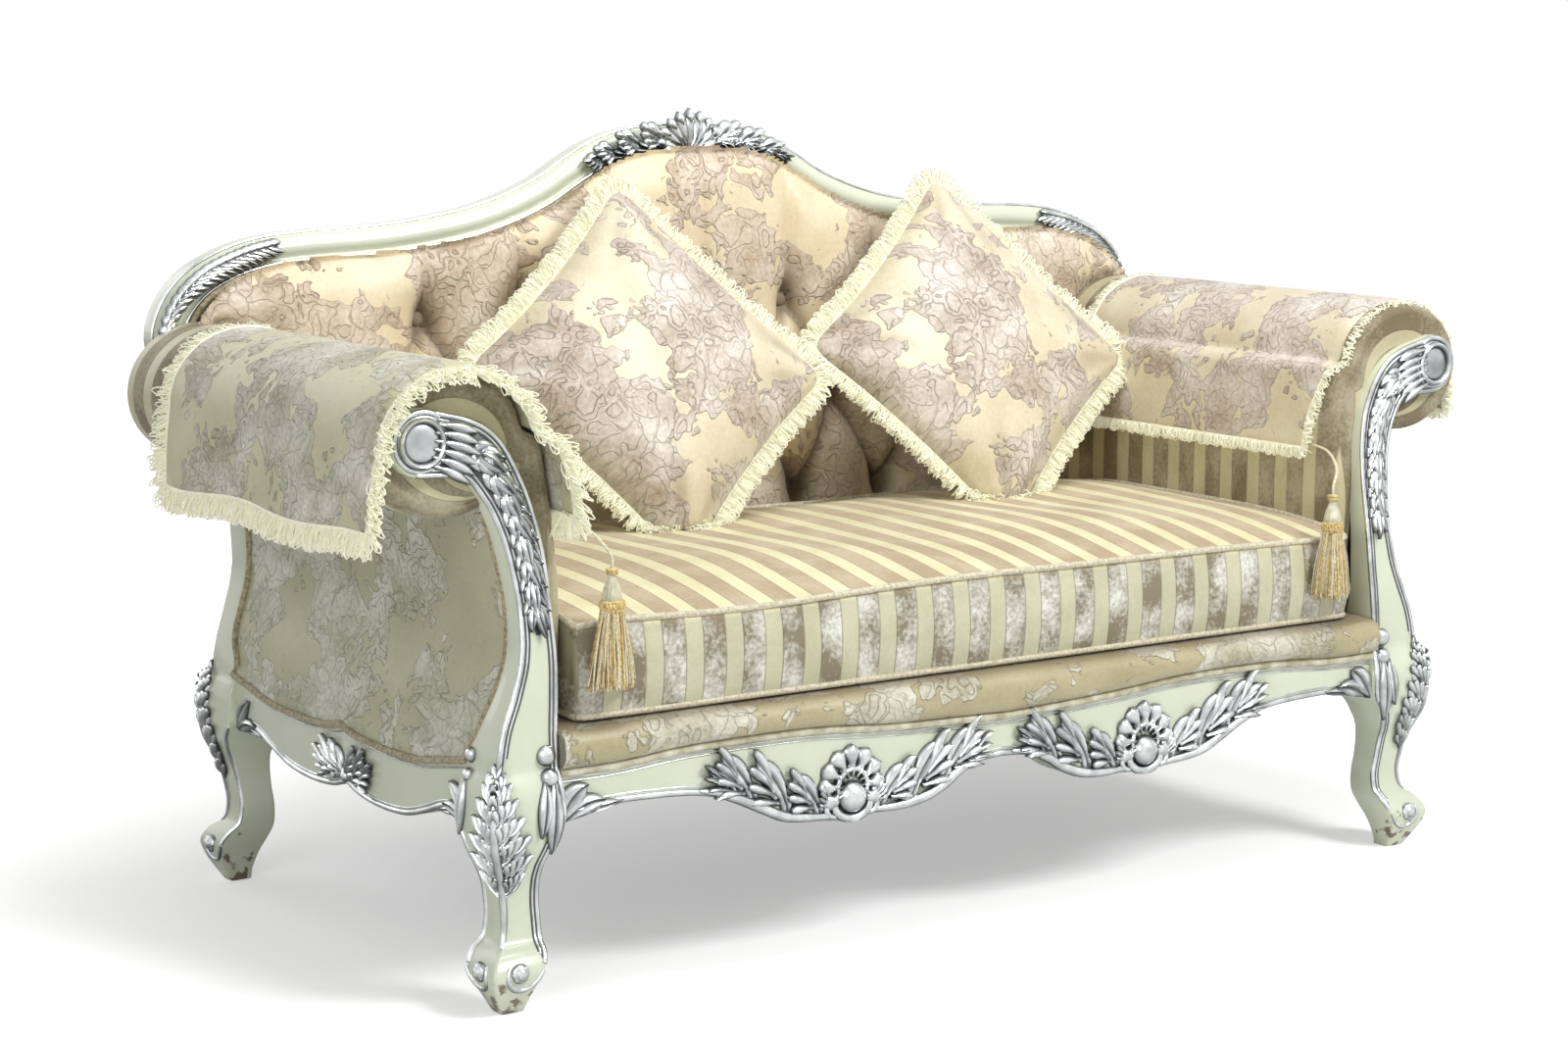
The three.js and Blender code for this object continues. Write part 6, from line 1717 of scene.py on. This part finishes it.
def cover_point(size, place, normal, s, v):
    """A point of the cloth: s is its share of the way over the arm, v its share of the way back."""
    (x, z), (nx, nz) = place, normal
    front = size["front"] + (size["inner_front"] - size["front"]) * (1 - eased(s / 0.3)) + \
        (size["outer_front"] - size["front"]) * eased((s - 0.72) / 0.28)
    hang = eased((s - 0.66) / 0.34)
    fold = size["folds"] * (0.5 + 0.5 * math.sin(v * 17 + 1.5 * math.sin(v * 5))) * hang
    ripple = 1.4 * math.sin(v * 23 + s * 9) * math.sin(s * 14 + v * 3) * (0.3 + hang)
    ripple += 1.2 * (1 - eased(s / 0.16))
    lift = 3.4 + fold + max(ripple, -1.5)
    droop = size["front_drop"] * max(0.0, 1 - v * 22) ** 2 * eased((z - 640) / 90)
    dip = 4.0 * math.sin(v * 11 + 1) * hang ** 2 * (1 if s > 0.9 else 0.4)
    return (x + nx * lift - nx * droop * 0.55, -front + (front + size["rear"]) * v,
            z + nz * lift - nz * droop * 0.55 + dip)


def arm_cover(side):
    size, name = COVERS[side], f"arm_cover_{side}"
    sign = 1 if side == "right" else -1
    line = cover_profile(size["inner"], size["outer"])
    outward = -sideways(line)[1]
    columns, rows = len(line), 84
    length = np.concatenate([[0], np.cumsum(steps_along(line))])
    share = length / length[-1]
    points = np.array([cover_point(size, line[c], outward[c], share[c], r / rows)
                       for r in range(rows + 1) for c in range(columns)]) * (sign, 1, 1)
    cover = piece(name, points, grid_faces(rows + 1, columns), cover_damask[side], name, "damask", smooth_angle=180,
                  uv=np.column_stack([np.tile(length, rows + 1), points[:, 1]]), close=False)
    thick = cover.modifiers.new("thickness", "SOLIDIFY")
    thick.thickness = 1.6 * MM
    thick.offset = 0
    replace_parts(cover, name)
    grid = points.reshape(rows + 1, columns, 3)
    hem = np.vstack([grid[::-1, 0], grid[0, 1:], grid[1:, -1], grid[-1, -2::-1]])
    radial, ones = outward * (sign, 1), np.ones(columns)
    front_out = np.column_stack([radial[:, 0] * 0.15, -ones, radial[:, 1] * 0.15 - 0.3])
    rear_out = np.column_stack([radial[:, 0] * 0.1, ones, -0.25 * ones])
    out = np.vstack([np.tile((0.0, -0.15, -1.0), (rows + 1, 1)), front_out[1:],
                     np.tile((sign * 0.1, 0, -1.0), (rows, 1)), rear_out[-2::-1]])
    for _ in range(3):
        out[1:-1] = (out[:-2] + out[1:-1] + out[2:]) / 3
    loops = fringe(f"arm_cover_fringe_{side}", hem, out, name, length=size["loops"], width=9.5, spacing=1.25,
                   thread=1.1, spread=0.4)


def turned(name, centre, profile, finish, body, flat, flutes=0, sides=32):
    """A turned piece about an upright line through centre, from pairs of radius and height."""
    points = []
    for turn in np.linspace(0, 2 * math.pi, sides, endpoint=False):
        wave = 1 + (0.05 * math.cos(turn * flutes) if flutes else 0)
        points += [(centre[0] + r * wave * math.cos(turn), centre[1] + r * wave * flat * math.sin(turn),
                    centre[2] + h) for r, h in profile]
    return piece(name, points, spun_faces(sides, len(profile)), finish, body, "tassel_silk")


def tassel_strands(x, top, random):
    """Strands that hang from the collar, spread towards their ends, with a bow and a kink in each."""
    strands = {"cream": [], "gold": []}
    for _ in range(380):
        turn = random.uniform(0, 2 * math.pi)
        inner = random.uniform(0.35, 1.0) ** 0.5
        spread = 1.0 + 1.25 * inner * random.uniform(0.8, 1.1)
        bow = random.uniform(0.5, 3.0)
        end = -149 + random.uniform(-3, 9)
        kink = random.uniform(-2.5, 2.5)
        rows = []
        for share in np.linspace(0, 1, 8):
            out = 1 + (spread - 1) * share ** 1.1
            rx = min(1.18 * (13.0 * inner) * out + bow * math.sin(math.pi * share), 38)
            ry = min(11.0 * inner * (1 + 0.45 * (out - 1)) + 0.3 * bow * math.sin(math.pi * share), 15.5)
            rows.append((x + rx * math.cos(turn) + kink * math.sin(3 * share + turn),
                         -TASSEL_Y + ry * math.sin(turn), top - 50 + (end + 50) * share))
        strands["gold" if random.random() < 0.5 else "cream"].append(rows)
    return strands


def tassel(side, x, top):
    """Bell head with its beaded cap, beaded collar and a skirt of strands round a core."""
    body, centre = f"tassel_{side}", (x, -TASSEL_Y, top)

    def ring(turns, radius, flat, level):
        return [(x + radius * math.cos(t), -TASSEL_Y + radius * flat * math.sin(t), top + level) for t in turns]

    head = turned(f"tassel_head_{side}", centre, [
        (0.5, 0), (4.5, -0.5), (6.5, -3), (6, -6.5), (4.5, -9), (5, -12), (7.5, -18), (10.5, -26), (12.5, -34),
        (12.5, -39), (10.5, -43), (0.5, -44)], tassel_satin, body, 0.95, flutes=12)
    rings = [ring(np.linspace(0, 2 * math.pi, 25), radius, 0.95, level)
             for radius, level in ((6.2, -2.5), (6.4, -6.5))]
    cap = beads(f"tassel_cap_{side}", rings, 1.9, tassel_gold, body, "tassel_silk")
    dots = []
    for level, radius in ((-42, 14.0), (-45.5, 15.0), (-49, 14.5), (-52, 13.5)):
        dots += ring([2 * math.pi * (k + 0.5 * (level % 2)) / 22 for k in range(22)], radius, 0.9, level)
    collar = grown(f"tassel_collar_{side}", BUTTONS, dots, [],
                   {"Radius": 2.5 * MM, "Height": 0.9, "Finish": tassel_gold}, body, "tassel_silk")
    strands = tassel_strands(x, top, np.random.default_rng(11 if side == "left" else 12))
    skirt = [grown(f"tassel_skirt_{shade}_{side}", STRANDS, *guide(strands[shade]),
                   {"Thread": 1.15 * MM, "Finish": finish}, body, "tassel_silk")
             for shade, finish in (("cream", tassel_cream), ("gold", tassel_gold))]
    core = turned(f"tassel_core_{side}", centre, [
        (0.5, -44), (10, -46), (13, -60), (17, -90), (20, -120), (19, -140), (0.5, -140)], tassel_cream, body, 0.6)
    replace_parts(head, f"tassel_{side}")
    return [head, cap, collar, core, *skirt]


def tassel_cord(side, x, top, pieces):
    """The twisted cord that the tassel hangs by, from the cover's corner."""
    low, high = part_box(f"tassel_cord_{side}")
    sign = -1 if side == "left" else 1
    corner = max(abs(low[0]), abs(high[0])) / MM - 2.2
    start = np.array([sign * corner, high[1] / MM - CENTRE_Y, high[2] / MM - 2.2])
    end = np.array([x, -TASSEL_Y, top - 1.0])
    knots = [start, start + (end - start) * (0.10, 0.35, 0.10), start + (end - start) * (0.62, 0.84, 0.45),
             end + (0, 0, 0.2 * (start[2] - end[2])), end]
    line = np.vstack([evened(smooth(knots, 16), 2.0), [end - (0, 0, drop) for drop in range(4, 104, 4)]])
    along = unit(np.gradient(line, axis=0))
    travelled = np.concatenate([[0], np.cumsum(steps_along(line))])
    rings = []
    for point, direction, at in zip(line, along, travelled):
        across = np.cross(direction, (0, 1.0, 0.2))
        across /= np.linalg.norm(across)
        other = np.cross(direction, across)
        ring = []
        for turn in 2 * math.pi * np.arange(10) / 10:
            radius = 2.25 * (0.86 + 0.14 * math.cos(2 * turn - at * 0.9))
            ring.append(point + across * radius * math.cos(turn) + other * radius * math.sin(turn))
        rings.append(ring)
    cord = loft(f"tassel_cord_{side}", rings, tassel_cord_thread, f"tassel_{side}", "tassel_silk", smooth_angle=180)
    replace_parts(cord, f"tassel_cord_{side}")


# Camera, light and ground

FOCAL_PIXELS = 3371.7
PHOTO_WIDTH = 1600


def aimed(name, data, place, aim):
    obj = new_object(name, data)
    obj.location = place
    obj.rotation_euler = (Vector(aim) - Vector(place)).to_track_quat("-Z", "Y").to_euler()
    return obj


def add_camera():
    camera = bpy.data.cameras.new("camera")
    camera.sensor_width = 36
    camera.lens = FOCAL_PIXELS / PHOTO_WIDTH * camera.sensor_width
    bpy.context.scene.camera = aimed("camera", camera, (-2.6810, -3.8300, 1.1960), (-0.0675, 0.0050, 0.4997))
    bpy.context.scene.view_settings.view_transform = "Standard"


def add_stage():
    world = bpy.data.worlds.new("studio")
    bpy.context.scene.world = world
    world.use_nodes = True
    n = Nodes(world.node_tree)
    ground = world.node_tree.nodes["Background"]
    ground.inputs["Color"].default_value = (1, 1, 1, 1)
    path = n.add("ShaderNodeLightPath").outputs
    seen = n.math("MAXIMUM", path["Is Camera Ray"], path["Is Glossy Ray"])
    seen = n.math("MAXIMUM", seen, path["Is Transmission Ray"])
    n.feed(ground.inputs["Strength"], n.plus(0.18, n.times(seen, 0.82)))
    lamps = [("key", (1.3, -3.4, 3.5), (0, 0, 0.5), 1.3, 132), ("fill", (-3.4, -2.2, 1.9), (-0.2, 0, 0.5), 2.0, 34),
             ("top", (0.1, -0.5, 3.2), (0, 0, 0.4), 1.5, 42), ("back", (-1.5, 3.2, 1.8), (0, 0, 0.6), 2.0, 15)]
    for name, place, aim, size, power in lamps:
        lamp = bpy.data.lights.new(name, "AREA")
        lamp.shape = "SQUARE"
        lamp.size = size
        lamp.energy = power
        aimed(name, lamp, place, aim)
    mesh = bpy.data.meshes.new("floor")
    turns = [2 * math.pi * k / 64 for k in range(64)]
    mesh.from_pydata([(9 * math.cos(t), 9 * math.sin(t), -0.0005) for t in turns], [], [tuple(range(64))])
    floor = new_object("floor", mesh)
    finish, n, shader = material("floor_white", roughness=0.9, color=(0.93, 0.93, 0.93))
    far = n.take("ShaderNodeVectorMath", n.place(), operation="LENGTH", output="Value")
    seen = n.take("ShaderNodeLightPath", output="Is Camera Ray")
    shader.inputs["Emission Color"].default_value = (1, 1, 1, 1)
    glow = n.plus(n.times(n.above(far, 0.9, 0.9), 0.6), 0.4)
    n.feed(shader.inputs["Emission Strength"], n.times(glow, seen))
    mesh.materials.append(finish)


add_camera()
add_stage()

for side in COVERS:
    arm_cover(side)
for side, x, top in (("left", -611.0, 543.0), ("right", 590.0, 538.0)):
    tassel_cord(side, x, top, tassel(side, x, top))

post = front_post()
wood, button = scroll()
edges = [facing_line(-1, 3.0, -1.6, 60), facing_line(1, 3.0, -1.6, 300), scroll_spiral(), leg_line(POST_FRONT, -1)]
edges = silver_beads("front_post_edges", edges, 3.8)
lines = silver_beads("front_post_lines", [facing_line(-1, 9.0, -0.4, 70), facing_line(1, 9.0, -0.4, 312)], 2.0)
post_right = joined("front_post_right", [post, wood])
post_left = mirrored(post_right, "front_post_left")
replace_pair(post_right, post_left, "front_post")
button.name = "scroll_button_right"
button_left = mirrored(button, "scroll_button_left")
replace_pair(button, button_left, "scroll_button")
# painted dark reflections: dark lines along the silver edges of the posts
grooves = [facing_line(-1, 6.6, 0.5, 66), facing_line(1, 6.6, 0.5, 306), facing_line(-1, 11.6, 0.2, 74),
           facing_line(1, 11.6, 0.2, 316)]
grooves = beads("front_post_grooves", grooves, 1.3, groove_shade, "frame", "silver_leaf")
mirrored(grooves, "front_post_grooves_left")
mirrored(edges, "front_post_edges_left")
mirrored(lines, "front_post_lines_left")

rear = rear_post()
rear.name = "rear_post_right"
replace_pair(rear, mirrored(rear, "rear_post_left"), "rear_post")
rear_lines = silver_beads("rear_post_edges", [leg_line(POST_REAR, 1), leg_line(POST_REAR, 1, inside_edge=True)], 3.0)
mirrored(rear_lines, "rear_post_edges_left")

front_rail()
side_rails()
top_rail()


def carved_pair(made, node=None):
    """A carved piece and its twin, which stand for a pair of the CAD's nodes where one is named."""
    name = made.name.removesuffix("_right")
    made.name = f"{name}_right"
    other = mirrored(made, f"{name}_left")
    if node:
        replace_pair(made, other, node)


carved_pair(apron_carving(), "apron_carving")
carved_pair(rail_end_leaves())
carved_pair(side_rail_carving(), "side_carving")
legs = (("front", POST_FRONT, -1), ("rear", POST_REAR, 1))
for end, face, away in legs:
    carved_pair(knee_leaf(face, away, f"{end}_knee_leaf_right"), f"{end}_knee_leaf")
for end, face, away in legs:
    carved_pair(foot_bosses(face, away, f"{end}_foot_bosses_right"))
carved_pair(facing_leaves(), "leaf_band")
carved_pair(drop_ornament(), "drop_ornament")
carved_pair(shoulder_carving(), "shoulder_carving")
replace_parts(crest_carving(), "crest_carving")

back_upholstery()
arm_pads()
outer_panels()
seat_border()
seat_cushion()
for side in PILLOWS:
    pillow(side)

inner_finishes = {"rear_rail": lacquer, "back_frame": beech, "arm_rail_left": beech, "arm_rail_right": beech,
                  "seat_webbing": jute, "back_webbing": jute, "dust_cover": cambric, "outside_back": back_cloth}
for corner in ("{}_corner_{}_left", "{}_corner_{}_right"):
    for end in ("front", "rear"):
        inner_finishes[corner.format(end, "block")] = beech
        inner_finishes[corner.format(end, "bolt")] = zinc
for node, finish in inner_finishes.items():
    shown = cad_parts[node]
    shown.data.materials.clear()
    shown.data.materials.append(finish)
